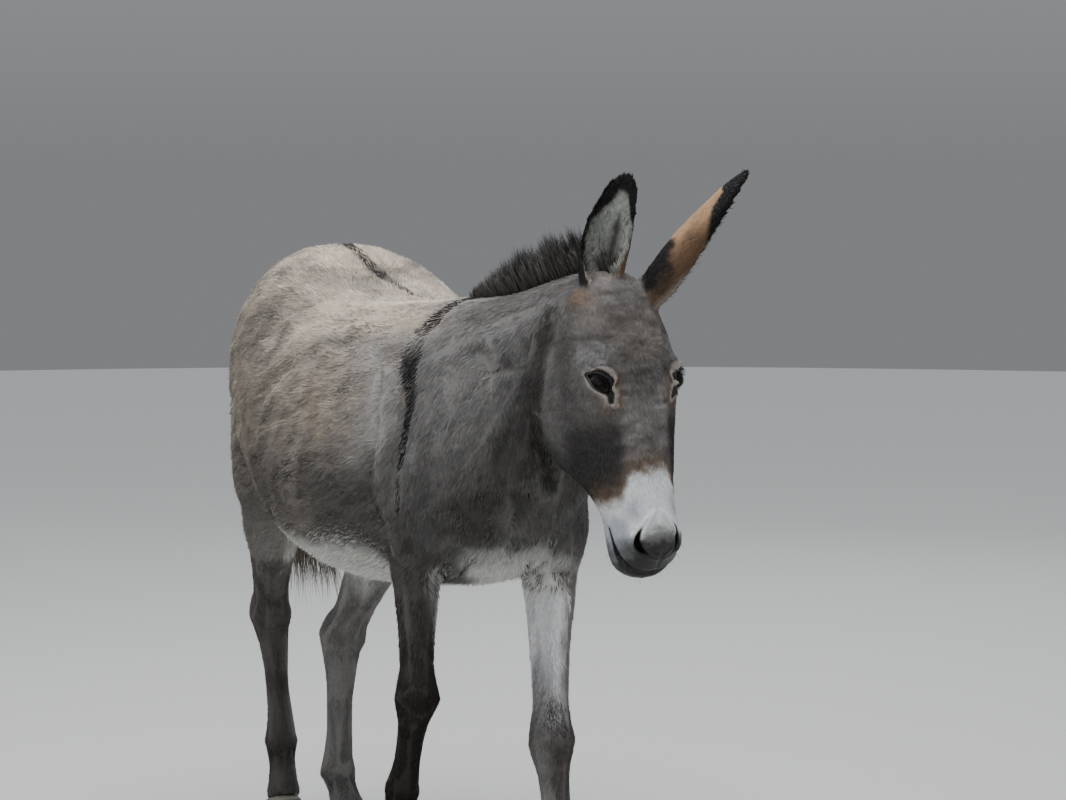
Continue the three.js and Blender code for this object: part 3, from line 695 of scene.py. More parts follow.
# ---- markings and painted light and shade: skin and coat read the same function ----
TINTS = dict(
    grey=(0.165, 0.158, 0.153),
    silver=(0.235, 0.226, 0.218),
    pale=(0.370, 0.355, 0.340),
    cream=(0.520, 0.440, 0.350),
    beige=(0.400, 0.345, 0.285),
    sand=(0.300, 0.245, 0.190),
    drab=(0.160, 0.142, 0.126),
    slate=(0.085, 0.080, 0.077),
    umber=(0.040, 0.035, 0.032),
    black=(0.012, 0.011, 0.012),
    white=(0.700, 0.700, 0.660),
    muzzle=(0.850, 0.860, 0.860),
    russet=(0.165, 0.115, 0.084),
    tawny=(0.200, 0.125, 0.075),
    tan=(0.350, 0.215, 0.120),
    ring=(0.480, 0.425, 0.360),
    inner_ear=(0.280, 0.290, 0.260),
    ash=(0.185, 0.177, 0.171),
    ink=(0.0048, 0.0044, 0.0048),
    face=(0.158, 0.146, 0.137),
    forehead=(0.165, 0.145, 0.131),
    jaw=(0.110, 0.104, 0.102),
    # Painted shade under the cheek.
    cheek=(0.042, 0.038, 0.037),
    bridge=(0.235, 0.219, 0.210),
    brow=(0.300, 0.290, 0.300),
    tear=(0.190, 0.130, 0.105),
    tear_spot=(0.500, 0.480, 0.440),
    band=(0.360, 0.280, 0.220),
    # The next five tints are painted shade on the white muzzle.
    muzzle_shade=(0.400, 0.430, 0.490),
    muzzle_side_shade=(0.360, 0.390, 0.450),
    lip=(0.150, 0.155, 0.170),
    nose_side_shade=(0.115, 0.115, 0.108),
    chin=(0.280, 0.290, 0.300),
    nose=(0.125, 0.123, 0.113),
    # Painted shade under the nose pad.
    nose_underside_shade=(0.018, 0.019, 0.016),
    nose_foot=(0.026, 0.027, 0.024),
    lips=(0.020, 0.020, 0.020),
    # Painted shade inside the nostrils.
    nostril=(0.0036, 0.0033, 0.0036),
    ear_brown=(0.120, 0.070, 0.040),
    ear_patch=(0.085, 0.055, 0.040),
    leg_white=(0.880, 0.890, 0.930),
    leg_inner=(0.300, 0.290, 0.280),
    foreleg_rear=(0.150, 0.135, 0.120),
    hindleg_rear=(0.340, 0.330, 0.310),
    hindleg_inner=(0.240, 0.230, 0.220),
)
# Bleached and moulting patches of the right side, with mirror images, among them some painted shade and one
# painted highlight, as marked: tint, strength, half width, stations.
MOULT_AND_PAINTED_LIGHT = [
    ("cream", 0.85, 24, [(-62, -200, 1070), (15, -97, 1118), (60, -20, 1132)]),
    ("cream", 0.55, 34, [(-343, -45, 1208), (-240, -60, 1180)]),
    ("drab", 0.60, 66, [(-560, -60, 1150), (-420, -110, 1160), (-330, -130, 1130)]),
    ("beige", 0.50, 60, [(-350, -235, 950), (-300, -240, 850)]),
    ("slate", 0.50, 15, [(-270, -112, 1178), (-204, -66, 1171)]),
    ("grey", 0.60, 22, [(-122, -211, 1070), (-115, -229, 1038)]),
    # Painted shade in the hollow behind the withers.
    ("drab", 0.75, 34, [(96, -160, 1062), (169, -130, 1083), (232, -98, 1104)]),
    ("drab", 0.55, 28, [(-20, -226, 1016), (66, -192, 1041)]),
    ("slate", 0.45, 10, [(-10, -236, 996), (72, -190, 1036)]),
    ("sand", 0.80, 17, [(90, -230, 975), (141, -230, 929), (166, -228, 896)]),
    ("cream", 0.60, 26, [(60, -60, 1126), (170, -96, 1106), (300, -96, 1104)]),
    ("sand", 0.80, 22, [(-250, -258, 927), (-214, -256, 852), (-230, -240, 760)]),
    ("pale", 0.85, 40, [(240, -160, 1030), (318, -170, 975), (309, -178, 932)]),
    # Pale along the rear edge of the shoulder blade: a painted highlight on its ridge.
    ("pale", 0.65, 24, [(346, -144, 1013), (360, -167, 927), (357, -176, 862)]),
    ("pale", 0.60, 34, [(286, -180, 930), (262, -196, 860)]),
    # Darker low on the barrel: partly the coat's colour, partly painted shade.
    ("slate", 0.60, 60, [(108, -245, 815), (198, -217, 790), (299, -185, 780)]),
    ("slate", 0.35, 14, [(-60, -268, 880), (-90, -262, 797), (-66, -237, 722)]),
    # Painted shade in the folds about the elbow.
    ("umber", 0.60, 22, [(330, -172, 760), (372, -161, 706)]),
    ("umber", 0.65, 17, [(438, -159, 722), (430, -160, 742)]),
    ("sand", 0.85, 34, [(-690, -70, 1000), (-650, -130, 880), (-590, -150, 770), (-540, -150, 690)]),
]
# Marks on the neck and breast that have no mirror image, among them painted shade in creases, grooves and
# under the neck, and painted highlights on ridges and folds, as marked.
NECK_MARKS = [
    ("slate", 0.55, 40, [(470, -40, 1130), (560, -10, 1150), (640, 40, 1170), (690, 70, 1180)]),
    # Painted shadow in the crease behind the cheek.
    ("umber", 0.70, 11, [
        (540, -78, 1066), (558, -71, 1055), (596, -62, 1039), (627, -43, 1044), (644, -22, 1072),
    ]),
    # Painted shade in the groove of the jugular vein, behind the jowl.
    ("slate", 0.75, 20, [(649, -15, 1081), (649, -28, 1014), (640, -40, 930)]),
    # Painted shade under the throat and low on the neck.
    ("umber", 0.65, 60, [(640, 0, 930), (610, -30, 850), (560, -80, 780)]),
    # Painted shade low on the chest, in front of the foreleg.
    ("slate", 0.60, 46, [(480, -140, 780), (440, -150, 740)]),
    # Pale along the ridge beside the jugular groove and along the shoulder blade's spine: painted highlights.
    ("silver", 0.35, 16, [(600, -85, 1000), (590, -98, 930)]),
    ("silver", 0.40, 14, [(497, -122, 1000), (519, -133, 950)]),
    # Pale along the folds across the breast: painted highlights on their tops.
    ("silver", 0.55, 5, [(618, -60, 820), (626, -16, 840), (622, 30, 852)]),
    ("silver", 0.45, 5, [(600, -66, 794), (616, -18, 808), (612, 34, 826)]),
]
# Painted shade in the creases where the forelegs join the breast.
ARMPIT_SHADE = [
    ("umber", 0.60, 7, [(512, -64, 700), (452, -61, 668)]),
    ("umber", 0.60, 7, [(512, 47, 690), (464, 56, 666)]),
]
# The dark lines: stations, and half widths in millimetres along them. The cross has a mirror image.
CROSS = np.array([cad(*p) for p in (
    (373, -2, 1160), (373, -12, 1156), (359, -41, 1139), (364, -75, 1113), (355, -98, 1089),
    (361, -115, 1061), (386, -133, 1021), (429, -145, 976), (430, -159, 915), (428, -164, 872),
    (418, -169, 780),
)])
CROSS_PATHS = (CROSS, mirrored(CROSS, cad(0, 6, 0)[1]))
CROSS_WIDTH = (15, 15, 17, 24, 31, 31, 22, 12, 9, 9, 6)
SPINE_STRIPE = [cad(*p) for p in (
    (-20, 36, 1136), (-61, 29, 1141), (-98, 18, 1149), (-152, 11, 1162), (-215, 6, 1180), (-289, 6, 1201),
    (-420, 4, 1214), (-530, 2, 1188), (-610, 0, 1140), (-670, 2, 1062), (-712, 8, 960), (-722, 18, 840),
    (-716, 26, 745),
)]
SPINE_WIDTH = (4, 8, 10, 11, 12, 12, 12, 11, 9, 8, 8, 8, 8)
LINE_DEPTH = 0.03  # how far off the surface a line's stations may be


def at_share(share, stations):
    """Places at shares of the way along evenly counted stations."""
    rows = np.linspace(0, 1, len(stations))
    return np.stack([np.interp(share, rows, column) for column in np.array(stations).T], axis=1)


def stripe_share(points, normal, path, widths, seed):
    """How much of a place is on a dark line, by its distance across the surface."""
    share = along(points, path)[1]
    off = points - at_share(share, path)
    depth = dot(off, normal)
    gap = np.linalg.norm(off - depth[:, None] * normal, axis=1) + np.maximum(np.abs(depth) - LINE_DEPTH, 0)
    half = np.interp(share, np.linspace(0, 1, len(widths)), widths) * MM
    half *= 1 + 0.15 * noise(points, 0.022, seed)
    return 1 - step(half * 0.85, half * 1.12 + 1.2 * MM, gap)


def cross_share(points, normal):
    """How much of a place is on the shoulder cross, on either side."""
    return np.maximum(*(stripe_share(points, normal, path, CROSS_WIDTH, 51) for path in CROSS_PATHS))


def ear_axes(name):
    """An ear's foot, its length, and its axes: up it, out of its mouth, and across."""
    base, tip, facing = (np.array(EARS[name][k], float) for k in ("base", "tip", "facing"))
    up = unit(tip - base)
    mouth = unit(facing - up * (facing @ up))
    length = np.linalg.norm(tip - base) * MM
    return SimpleNamespace(foot=cad(*base), length=length, up=up, mouth=mouth, across=np.cross(up, mouth))


def ear_place(points, name):
    """The share up the ear, and the angle round it from the middle of its back."""
    ear = ear_axes(name)
    rel = points - ear.foot
    angle = np.arctan2(rel @ ear.across, -(rel @ ear.mouth) - 2 * MM)
    return rel @ ear.up / ear.length, angle


def rim_share(share, angle):
    """How near a place is to an ear's rim, 1 on it."""
    return np.abs(angle) / np.interp(share, (0, 0.3, 0.6, 1), (2.9, 2.1, 1.75, 1.4))


# Each leg's tints: outside above the knee or hock, and all round below it.
LEG_TINTS = dict(
    foreleg_left=((0.270, 0.250, 0.235), (0.108, 0.097, 0.091)),
    # The right foreleg's tints are very dark: partly its own colour, partly painted shade.
    foreleg_right=((0.058, 0.050, 0.042), (0.028, 0.024, 0.020)),
    hindleg_left=((0.320, 0.306, 0.292), (0.170, 0.162, 0.156)),
    hindleg_right=((0.140, 0.131, 0.119), (0.092, 0.084, 0.078)),
)


def filled(tint, count):
    """One named tint for each of `count` points."""
    return np.tile(TINTS[tint], (count, 1))


def layered(colour, *layers):
    """Blends named tints in, one over another, each by its share."""
    for tint, share in layers:
        colour = blend(colour, TINTS[tint], share)
    return colour


def marked(colour, points, marks, ragged, mid=None):
    """Blends tints in along paths, with edges moved by `ragged`, a share of their width."""
    for tint, strength, width, path in marks:
        for way in both_ways(path, mid):
            gap = along(points, way)[0] / (width * MM) + ragged
            colour = blend(colour, TINTS[tint], strength * step(1.5, 0.4, gap))
    return colour


def old_coat(grain, streaks, patches, z):
    """The bleached coat behind the shoulder cross, which comes off in streaks, darker low down, partly as
    painted shade.
    """
    height = step(720, 1120, z + 70 * patches)
    blots = rough(grain, (0.060, 0.022, 0.035), 3, 27)
    folds = rough(grain, (0.150, 0.016, 0.050), 2, 33)
    return layered(
        filled("drab", len(z)),
        # Darker low down: partly the coat's colour, partly painted shade.
        ("slate", 0.7 * step(0.2, 0.9, 0.5 - 0.5 * height - 0.25 * streaks)),
        ("beige", np.clip(0.04 + 0.72 * height + 0.42 * streaks + 0.34 * patches, 0, 1)),
        ("grey", 0.6 * step(0.25, 1.0, streaks + 0.7 * patches) * step(1190, 900, z)),
        ("drab", 0.50 * step(0.15, 0.75, blots)),
        ("cream", 0.45 * step(0.25, 0.85, -blots) * height),
        ("cream", 0.55 * step(0.30, 0.75, folds) * step(700, 860, z)),
        ("slate", 0.22 * step(0.20, 0.65, -folds) * step(1240, 1100, z)),
    )


def new_coat(grain, streaks, patches, x, z):
    """The short grey coat of neck and shoulder, paler up high as painted light and darker low in front as
    painted shade.
    """
    dapple = rough(grain, (0.07, 0.02, 0.03), 2, 12)
    return layered(
        filled("ash", len(z)),
        # Paler up high: painted light. Darker low in front: painted shade.
        ("silver", 0.35 * step(940, 1130, z + 40 * streaks)),
        ("slate", 0.60 * step(960, 760, z + 30 * patches) * step(360, 500, x)),
        ("slate", 0.35 * step(0.2, 0.9, dapple)),
    )


def body_tint(points, normal, shares):
    x, y, z = (points - SHIFT).T / MM
    grain = np.stack([points @ (-0.95, 0, -0.3), points @ (0.3, 0, -0.95), points[:, 1]], axis=1)
    streaks = rough(grain, (0.110, 0.024, 0.040), 3, 2)
    fine = rough(grain, (0.045, 0.008, 0.014), 2, 15)
    patches = rough(points, 0.150, 2, 5)
    fleck = noise(points, 0.009, 9)
    cross_x = np.interp(points[:, 2], CROSS[::-1, 2], CROSS[::-1, 0])
    behind = step(0.02, -0.16, points[:, 0] - cross_x + 0.03 * streaks)
    colour = new_coat(grain, streaks, patches, x, z)
    colour = blend(colour, old_coat(grain, streaks, patches, z), behind)
    ragged = 0.55 * streaks + 0.35 * fine
    colour = marked(colour, points, MOULT_AND_PAINTED_LIGHT, ragged, MID_Y)
    colour = marked(colour, points, NECK_MARKS + ARMPIT_SHADE, 0.25 * ragged)
    # Painted shadow on the neck behind each cheek.
    colour = blend(colour, TINTS["umber"], 0.75 * step(1.5, 0.4, jowl_gap(points) / 22 + 0.2 * ragged))
    colour = colour * (1 + (0.20 + 0.06 * behind) * fine + 0.08 * fleck)[:, None]
    # White below: belly, breast and groin, but not round the tops of the legs.
    under = step(-0.05, 0.6, -normal[:, 2])
    low = step(704, 664, z + 14 * patches + 8 * fleck)
    # The breast's white is only 0.62 strong, as painted shade.
    breast = 0.62 * step(732, 698, z + 30 * noise(points, 0.06, 16) + 22 * streaks + 8 * fleck)
    breast = breast * step(-96, -66, y) * step(150, 90, y) * step(400, 440, x)
    breast = breast * step(-0.75, -0.2, -normal[:, 2])
    white = np.clip(low * (0.08 + 0.80 * under) + 0.9 * breast, 0, 1)
    legs = np.zeros(len(points))
    for name, joint in JOINTS.items():
        gap = along(points, [cad(*joint["elbow"]), cad(*joint["knee"])])[0] / MM
        here = step(125, 85, gap + 12 * streaks) * step(-0.55, 0.0, normal[:, 1] * hand_of(name))
        colour = blend(colour, LEG_TINTS[name][0], 0.75 * here * step(730, 670, z + 20 * streaks))
        legs = np.maximum(legs, here)
    white = white * (1 - 0.85 * legs) * step(0.8, 0.5, shares["thigh"] + shares["shank"])
    colour = blend(colour, TINTS["white"], white)
    return marked(colour, points, ARMPIT_SHADE, 0.3 * ragged)


def leg_tint(colour, points, normal, shares):
    z = points[:, 2] / MM
    smudge = rough(points, (0.02, 0.02, 0.05), 3, 21)
    streak = rough(points, (0.010, 0.010, 0.04), 2, 23)
    for name, joint in JOINTS.items():
        mine = shares[f"{name}_upper"] + shares[f"{name}_lower"]
        knee = joint["knee"][2]
        inner = step(-0.1, 0.75, -hand_of(name) * normal[:, 1] + 0.25 * smudge)
        outside, dark = LEG_TINTS[name]
        leg = blend(np.tile(dark, (len(points), 1)), outside, step(knee + 10, knee + 170, z + 20 * smudge))
        if name == "foreleg_left":
            front = step(-0.45, 0.35, -normal[:, 1] + 0.35 * normal[:, 0] + 0.3 * smudge)
            layers = [
                ("leg_white", front * step(knee + 30, knee + 200, z + 30 * smudge)),
                ("leg_inner", 0.7 * inner * step(knee + 60, knee - 20, z)),
            ]
        elif name == "foreleg_right":
            rear = step(0.25, 0.85, -normal[:, 0] + 0.3 * streak)
            layers = [
                ("foreleg_rear", 0.7 * rear * step(knee + 20, knee + 120, z)),
                ("white", 0.6 * inner * step(knee + 90, knee + 220, z)),
            ]
        else:
            rear = step(0.35, 0.85, -normal[:, 0] + 0.2 * smudge)
            layers = [
                ("hindleg_rear", 0.6 * rear * step(knee + 20, knee + 110, z)),
                ("white", 0.7 * inner * step(knee + 60, knee + 220, z)),
                ("hindleg_inner", 0.55 * inner * step(knee + 120, knee, z)),
            ]
        leg = layered(leg, *layers)
        if name.startswith("hindleg"):
            cap = bell(np.linalg.norm(points - cad(*joint["knee"]), axis=1) / MM - 10, 40)
            leg = blend(leg, np.array(dark) * 2.0, 0.6 * cap)
        mottle = step(0.1, 0.7, smudge) * bell(z - knee, 60)
        leg = blend(leg, np.array(dark) * 0.55, 0.5 * mottle)
        pastern = bell(z - joint["fetlock"][2] + 22, 24 + 6 * smudge)
        leg = blend(leg, np.array(dark) * 0.30, 0.85 * pastern)
        leg = leg * (1 + 0.20 * smudge + 0.14 * streak)[:, None]
        colour = blend(colour, leg, step(0.15, 0.75, mine + 0.12 * smudge))
    return colour


def crinkle(head):
    """Waves across the face, in the head's frame."""
    return noise(head * (1, 0.25, 0.25), 10, 66) + 0.5 * noise(head * (1, 0.3, 0.3), 5, 67)


def face_layers(head):
    """The face's dark and pale parts, with painted shade under the cheek and in the temple crease, and
    painted light along the jowl.
    """
    down, side, out = head.T
    wide = np.abs(side)
    crease = along(np.stack([down, wide, 0 * down], axis=1), TEMPLE_CREASE)[0]
    return [
        ("forehead", step(40, 90, down) * step(175, 130, down) * step(90, 40, wide)),
        ("jaw", 0.8 * step(-30, -80, out) * step(60, 130, down)),
        # The cheek's underside, turned down: painted shade.
        ("cheek", 0.92 * step(215, 270, down) * step(0.30, 0.65, wide / 90 - out / 120)),
        ("bridge", 0.8 * step(170, 230, down) * step(58, 34, wide) * step(-40, -10, out)),
        # Pale along the jowl's rear edge: painted light.
        ("silver", 0.6 * step(-70, -130, out) * step(330, 240, down) * step(80, 130, down)),
        ("brow", 0.7 * bell(np.hypot(down - 132, (wide - 80) / 1.3), 20) * (out > -40)),
        # Painted shade in the temple crease.
        ("slate", 0.6 * bell(crease, 5)),
        ("tawny", 0.8 * bell(np.hypot((down - 26) / 1.5, wide - 72), 14) * step(-95, -60, out)),
    ]


def eye_layers(head, curl):
    """Round the eyes: a pale ring, a tan patch below the inner corner, and bare black margins, widened above
    and at the outer corner as painted shade, with painted shade in the fold above.
    """
    u, v, w, gap = eye_gap(head)
    here = w > -16
    tear = tear_gap(u, v)
    # The black margin widens above the opening and at its outer corner: painted shade under the upper lid and
    # lashes.
    dark = 2.6 + 6.0 * step(2, 14, v) * step(26, 12, np.abs(u - 2))
    dark = dark + 3.5 * step(-12, -22, u) * step(-8, -2, v)
    wet = np.interp(u, (18, 36), (7.0, 3.0))
    around = np.minimum(gap - dark, tear - wet)
    ring = step(-1, 2, around) * step(11, 4, around + 3 * curl) * here
    # A painted shadow line in the fold above the upper lid.
    fold = bell(gap - dark - 11, 1.8) * step(8, 18, v)
    lid_margin_and_shade = np.maximum(step(dark + 1.6, dark - 0.6, gap), step(wet + 0.8, wet - 1.0, tear) * here)
    return [
        ("tawny", 0.55 * here * bell(around - 12, 5) * step(4, 16, u) * step(-16, -4, v)),
        ("ring", ring * (0.42 + 0.50 * step(-4, 14, u))),
        ("tear", 0.75 * here * bell(np.hypot(u - 38, (v + 20) / 1.2), 11)),
        ("tear_spot", 0.8 * here * bell(np.hypot(u - 37, v + 11), 3.6)),
        ("umber", 0.6 * fold * here),
        ("black", lid_margin_and_shade),
    ]


def muzzle_layers(head, curl, cloud, nose):
    """A white muzzle below a reddish band, with a dark nose and lips, and painted shade on its top and sides,
    under its chin and under the nose pad.
    """
    down, side, out = head.T
    wide = np.abs(side)
    edge = 339 + 0.25 * np.maximum(wide - 35, 0) + 32 * step(-1, -18, out) * step(25, 45, wide)
    past = down - edge + 5 * curl + 4 * cloud
    white = step(-16, 13, past)
    below = along(np.stack([down, wide, out], axis=1), UNDER_NOSTRIL)[0]
    front = step(-70, -30, out) * step(58, 44, wide)
    return [
        ("russet", 0.80 * bell(past + 18, 16) * step(-100, -60, out)),
        ("band", 0.60 * bell(past + 6, 8) * step(-100, -60, out)),
        ("muzzle", white),
        # Bluish grey on the muzzle's top: painted shade.
        ("muzzle_shade", white * 0.75 * bell(np.hypot((down - 392) / 1.6, wide - 42), 12)),
        # Bluish grey on the muzzle's sides, and darker lower down: painted shade.
        ("muzzle_side_shade", white * 0.75 * step(384, 412, down + 6 * cloud) * step(46, 58, wide)),
        ("lip", white * 0.85 * step(424, 462, down + 8 * curl) * step(42, 56, wide)),
        # Grey beside the nostrils: painted shade.
        ("nose_side_shade", white * 0.8 * bell(np.hypot((down - 452) / 1.3, wide - 50), 12)),
        # Grey under the chin: painted shade.
        ("chin", white * 0.6 * step(-60, -95, out)),
        ("nose", 0.9 * nose),
        # Dark on the lower part of the nose pad: painted shade under it.
        ("nose_underside_shade", 0.95 * nose * step(434, 458, down + 5 * curl)),
        ("umber", 0.85 * step(15, 7, below + 3 * curl)),
        ("nose_foot", 0.9 * step(446, 464, down + 5 * curl) * front),
        ("black", 0.85 * step(462, 480, down + 4 * curl)),
    ]


def nostril_share(head):
    """How much of a place is inside a nostril."""
    inside = np.zeros(len(head))
    for hand in (1, -1):
        s, a, w = nostril_frame(head, hand)
        mine = (head[:, 1] * hand > 5) & (np.abs(w) < 40)
        inside = np.maximum(inside, step(1.5, 1.0, nostril_pit(s, a)) * mine)
    return inside


def head_tint(colour, points, shares):
    """Blends the head's markings and painted shade in. Returns how bare the skin is as well."""
    head = in_head(points)
    down, side, out = head.T
    wide = np.abs(side)
    curl = rough(points, (0.012, 0.012, 0.008), 3, 31)
    cloud = rough(points, 0.04, 2, 34)
    face = layered(filled("face", len(points)), *face_layers(head))
    waves = crinkle(head) * step(70, 44, wide) * step(-45, -10, out)
    face = face * np.exp(0.18 * curl + 0.20 * cloud + 0.42 * waves)[:, None]
    whorl = bell(np.hypot(down - WHORL[0], side - WHORL[1]), 8)
    poll = bell(np.hypot(down - 3, side + 4), 9)
    face = layered(face, ("umber", 0.75 * whorl * (out > 0)), ("umber", 0.85 * poll * (out > -40)))
    eyes = eye_layers(head, curl)
    lid_margin_and_shade = eyes[-1][1]
    face = layered(face, *eyes)
    nose = step(-14, 10, down - 424 - 0.012 * side**2 + 5 * curl) * step(60, 40, wide + 0.4 * (down - 450))
    nose = nose * step(-34, -8, out)
    face = layered(face, *muzzle_layers(head, curl, cloud, nose))
    nostrils = nostril_share(head)
    gap = np.interp(down, *MOUTH_WIDTH)
    face = layered(
        face,
        # Black inside the nostrils: painted shade in the pits.
        ("nostril", nostrils),
        ("lips", 0.95 * step(460, 482, down + 6 * curl - 0.10 * wide) * step(-75, -62, out)),
        # Black in the slit between the lips: painted shade.
        ("black", step(gap + 2.4, gap, mouth_line(head)) * step(395, 410, down)),
    )
    bare = (nose + lid_margin_and_shade) * (1 - nostrils) + step(455, 480, down) * step(-75, -60, out)
    mine = step(0.35, 0.65, shares["head"])
    return blend(colour, face, mine), np.clip(bare, 0, 1) * mine


# Where along an ear its markings change: the share up its length, then the angle round it from the middle of
# its back towards its front rim.
BACK_PATCH = (0.37, 1.3)
BACK_BAND = ((0.40, 2.3), (0.50, 1.7), (0.60, 1.15), (0.70, 0.75), (0.80, 0.30), (0.88, -2.0))


def ear_streak(share, turn):
    """The dark streak up the middle of an ear's hollow."""
    width = np.interp(share, (0, 0.25, 0.5, 0.75), (0.45, 0.80, 0.60, 0.20))
    return bell(turn + 0.15 - 0.3 * share, width) * step(0.80, 0.62, share)


def ear_back(share, turn, ragged):
    """The back of an ear: tawny, with a black foot, band and tip."""
    brown = step(0.56, 0.40, share - 0.06 * turn + 0.10 * ragged) * step(0.2, 0.9, turn)
    patch = step(0.06, -0.03, share - BACK_PATCH[0] + 0.10 * np.maximum(turn, 0) + 0.06 * ragged)
    band = np.interp(share, *np.transpose(BACK_BAND))
    return layered(
        filled("tan", len(share)),
        ("ear_brown", 0.8 * brown),
        ("ear_patch", 0.85 * patch * step(2.6, BACK_PATCH[1], turn + ragged)),
        ("ink", 0.97 * patch * step(1.5, 0.7, turn + 0.5 * ragged)),
        ("tawny", step(0.08, 0.0, share + 0.05 * ragged)),
        ("beige", 0.7 * step(1.7, 2.3, turn) * step(0.36, 0.22, share)),
        ("ink", step(-0.16, 0.16, turn - band + 0.2 * ragged) * step(0.34, 0.40, share)),
        ("ink", step(0.86, 0.93, share + 0.05 * ragged)),
    )


def ear_hollow(share, turn, rim, ragged, fine):
    """The inside of an ear: pale, with a dark streak and a black edge."""
    fore_rim = (turn > 0) * step(0.66, 0.54, share)
    edge = rim + 0.06 * ragged + 0.26 * step(0.60, 0.90, share) - 0.06 - 0.50 * fore_rim
    return layered(
        filled("inner_ear", len(share)) * (1 + 0.30 * fine + 0.2 * ragged)[:, None],
        ("umber", 0.97 * ear_streak(share, turn + 0.4 * ragged)),
        ("ink", step(0.74, 0.86, edge) * step(0.05, 0.14, share)),
        ("ink", step(0.82, 0.90, share + 0.04 * ragged)),
    )


def ear_tint(colour, points, normal, shares):
    ragged = 0.5 * rough(points, 0.018, 3, 41)
    fine = rough(points, 0.006, 2, 42)
    for name, hand in zip(EARS, (1, -1)):
        ear = ear_axes(name)
        share, angle = ear_place(points, name)
        turn = angle * hand
        inside = step(-0.25, 0.25, dot(normal, -unit(square_part(points - ear.foot, ear.up))))
        rim = rim_share(share, angle)
        rear_rim = step(-0.30, -0.55, turn / np.maximum(rim, 0.1)) * step(0.72, 0.84, rim) * (share > 0.05)
        back = blend(ear_back(share, turn, ragged), TINTS["black"], rear_rim * step(0.0, 0.1, share))
        whole = blend(back, ear_hollow(share, turn, rim, ragged, fine), inside)
        colour = blend(colour, whole, step(0.25, 0.7, shares[name]))
    return colour


TONES = ((0.05, 0.3, 0.6), (0.78, 0.88, 1.0))  # brightness, and what it is multiplied by


def markings(points, normal, shares):
    """The colour of skin and coat at each point, and how bare the skin is there."""
    colour = body_tint(points, normal, shares)
    colour = leg_tint(colour, points, normal, shares)
    colour, bare = head_tint(colour, points, shares)
    colour = ear_tint(colour, points, normal, shares)
    on_body = 1 - step(0.4, 0.6, shares["head"])
    spine = stripe_share(points, normal, SPINE_STRIPE, SPINE_WIDTH, 55)
    worn = step(0.3, 0.8, noise(points, 0.03, 56))
    colour = layered(
        colour,
        ("black", 0.98 * on_body * cross_share(points, normal)),
        ("black", 0.96 * spine * (1 - 0.35 * worn)),
    )
    colour = colour * np.interp(colour.mean(axis=1)[:, None], *TONES)
    return np.clip(colour, 0.003, 0.9), bare


# ---- the lie of the hair and the depth of the coat ----
BREAST_WHORL = cad(595, -28, 771)


def hair_lie(points, normal, shares, net):
    """The way the hair lies at each point, along the surface."""
    x = (points[:, 0] - SHIFT[0]) / MM
    ahead = step(250, 430, x)[:, None]
    lie = (1 - ahead) * (-1, 0, -0.34) + ahead * (-0.42, 0, -1)
    lie = blend(lie, (-0.25, 0, -1), step(-560, -660, x))
    lie = blend(lie, (-1, 0, -0.05), step(0.35, 0.85, -normal[:, 2]))
    for leg in LEGS:
        lie = blend(lie, (-0.12, 0, -1), step(0.1, 0.9, shares[f"{leg}_upper"] + shares[f"{leg}_lower"]))
    lie = blend(lie, (0, 0, -1), step(0.2, 0.7, shares["tail_dock"]))
    away = points - BREAST_WHORL
    radius = np.linalg.norm(away, axis=1)
    lie = blend(lie, unit(away) + (0, 0, -0.5), 0.7 * bell(radius, 0.045))
    head = in_head(points)
    down, side, out = head.T
    spiral = np.hypot(down - WHORL[0], side - WHORL[1])
    flow_down = np.tanh((down - WHORL[0]) / 22)
    flow_side = 1.4 * bell(spiral, 55) * (side - WHORL[1]) / (spiral + 6) + 0.3 * np.tanh(side / 50)
    cheek = step(-20, -75, out)
    flow_down = flow_down * (1 - cheek) + 0.75 * cheek
    flow = np.stack([flow_down, flow_side * (1 - cheek), -0.7 * cheek - 0.1], axis=1)
    lie = blend(lie, flow @ HEAD_AXES, step(0.2, 0.8, shares["head"]))
    for name in EARS:
        ear = ear_axes(name)
        turn = ear_place(points, name)[1]
        fanned = ear.up + 0.35 * np.tanh(2 * turn)[:, None] * ear.across
        lie = blend(lie, fanned, step(0.2, 0.7, shares[name]))
    lie = unit(lie - dot(lie, normal)[:, None] * normal)
    lie = net.spread(lie, 5)
    return unit(lie - dot(lie, normal)[:, None] * normal)


PLAN = ("depth", "length", "width", "lift", "cover")
COAT = dict(  # lengths in millimetres; the last value says how far the tufts cover the skin
    hide=(3.4, 17, 2.6, 0.15, 1.45),
    thigh=(2.6, 12, 2.2, 0.15, 1.30),
    shank=(2.0, 8, 1.7, 0.16, 1.25),
    head=(2.0, 7, 1.35, 0.18, 1.10),
    ear=(0.8, 6, 1.2, 0.14, 1.50),
    tail_dock=(2.6, 12, 2.2, 0.15, 1.30),
)
HOLLOW_LIFT = 0.28  # more lift for each millimetre of hollow, and the most of it
HOLLOW_MOST = 0.40


def coat_plan(points, normal, shares):
    """Each place's coat: what PLAN names, and the number of tufts for each square millimetre."""
    down, side, out = in_head(points).T
    plan = {}
    for column, key in enumerate(PLAN):
        plan[key] = sum(row[column] * shares[kind] for kind, row in COAT.items())
    hide = shares["hide"]
    head = step(0.3, 0.8, shares["head"])
    muzzle = head * step(330, 400, down)
    plan["depth"] -= 1.2 * muzzle
    plan["length"] -= 3.6 * muzzle
    plan["width"] -= 0.35 * muzzle
    forehead = head * bell(np.hypot((down - 120) / 1.5, side), 62) * (out > -30)
    plan["length"] += 3.0 * forehead
    plan["lift"] += 0.16 * forehead
    jaw = head * step(-110, -160, out)
    plan["length"] += 4 * jaw
    fore = hide * step(0.10, 0.45, points[:, 0])
    plan["length"] -= 3.5 * fore
    plan["width"] -= 0.7 * fore
    belly = hide * step(0.4, 0.9, -normal[:, 2])
    plan["length"] += 5 * belly
    plan["lift"] += 0.10 * belly
    plan["number"] = plan["cover"] / (plan["length"] * plan["width"])
    return plan


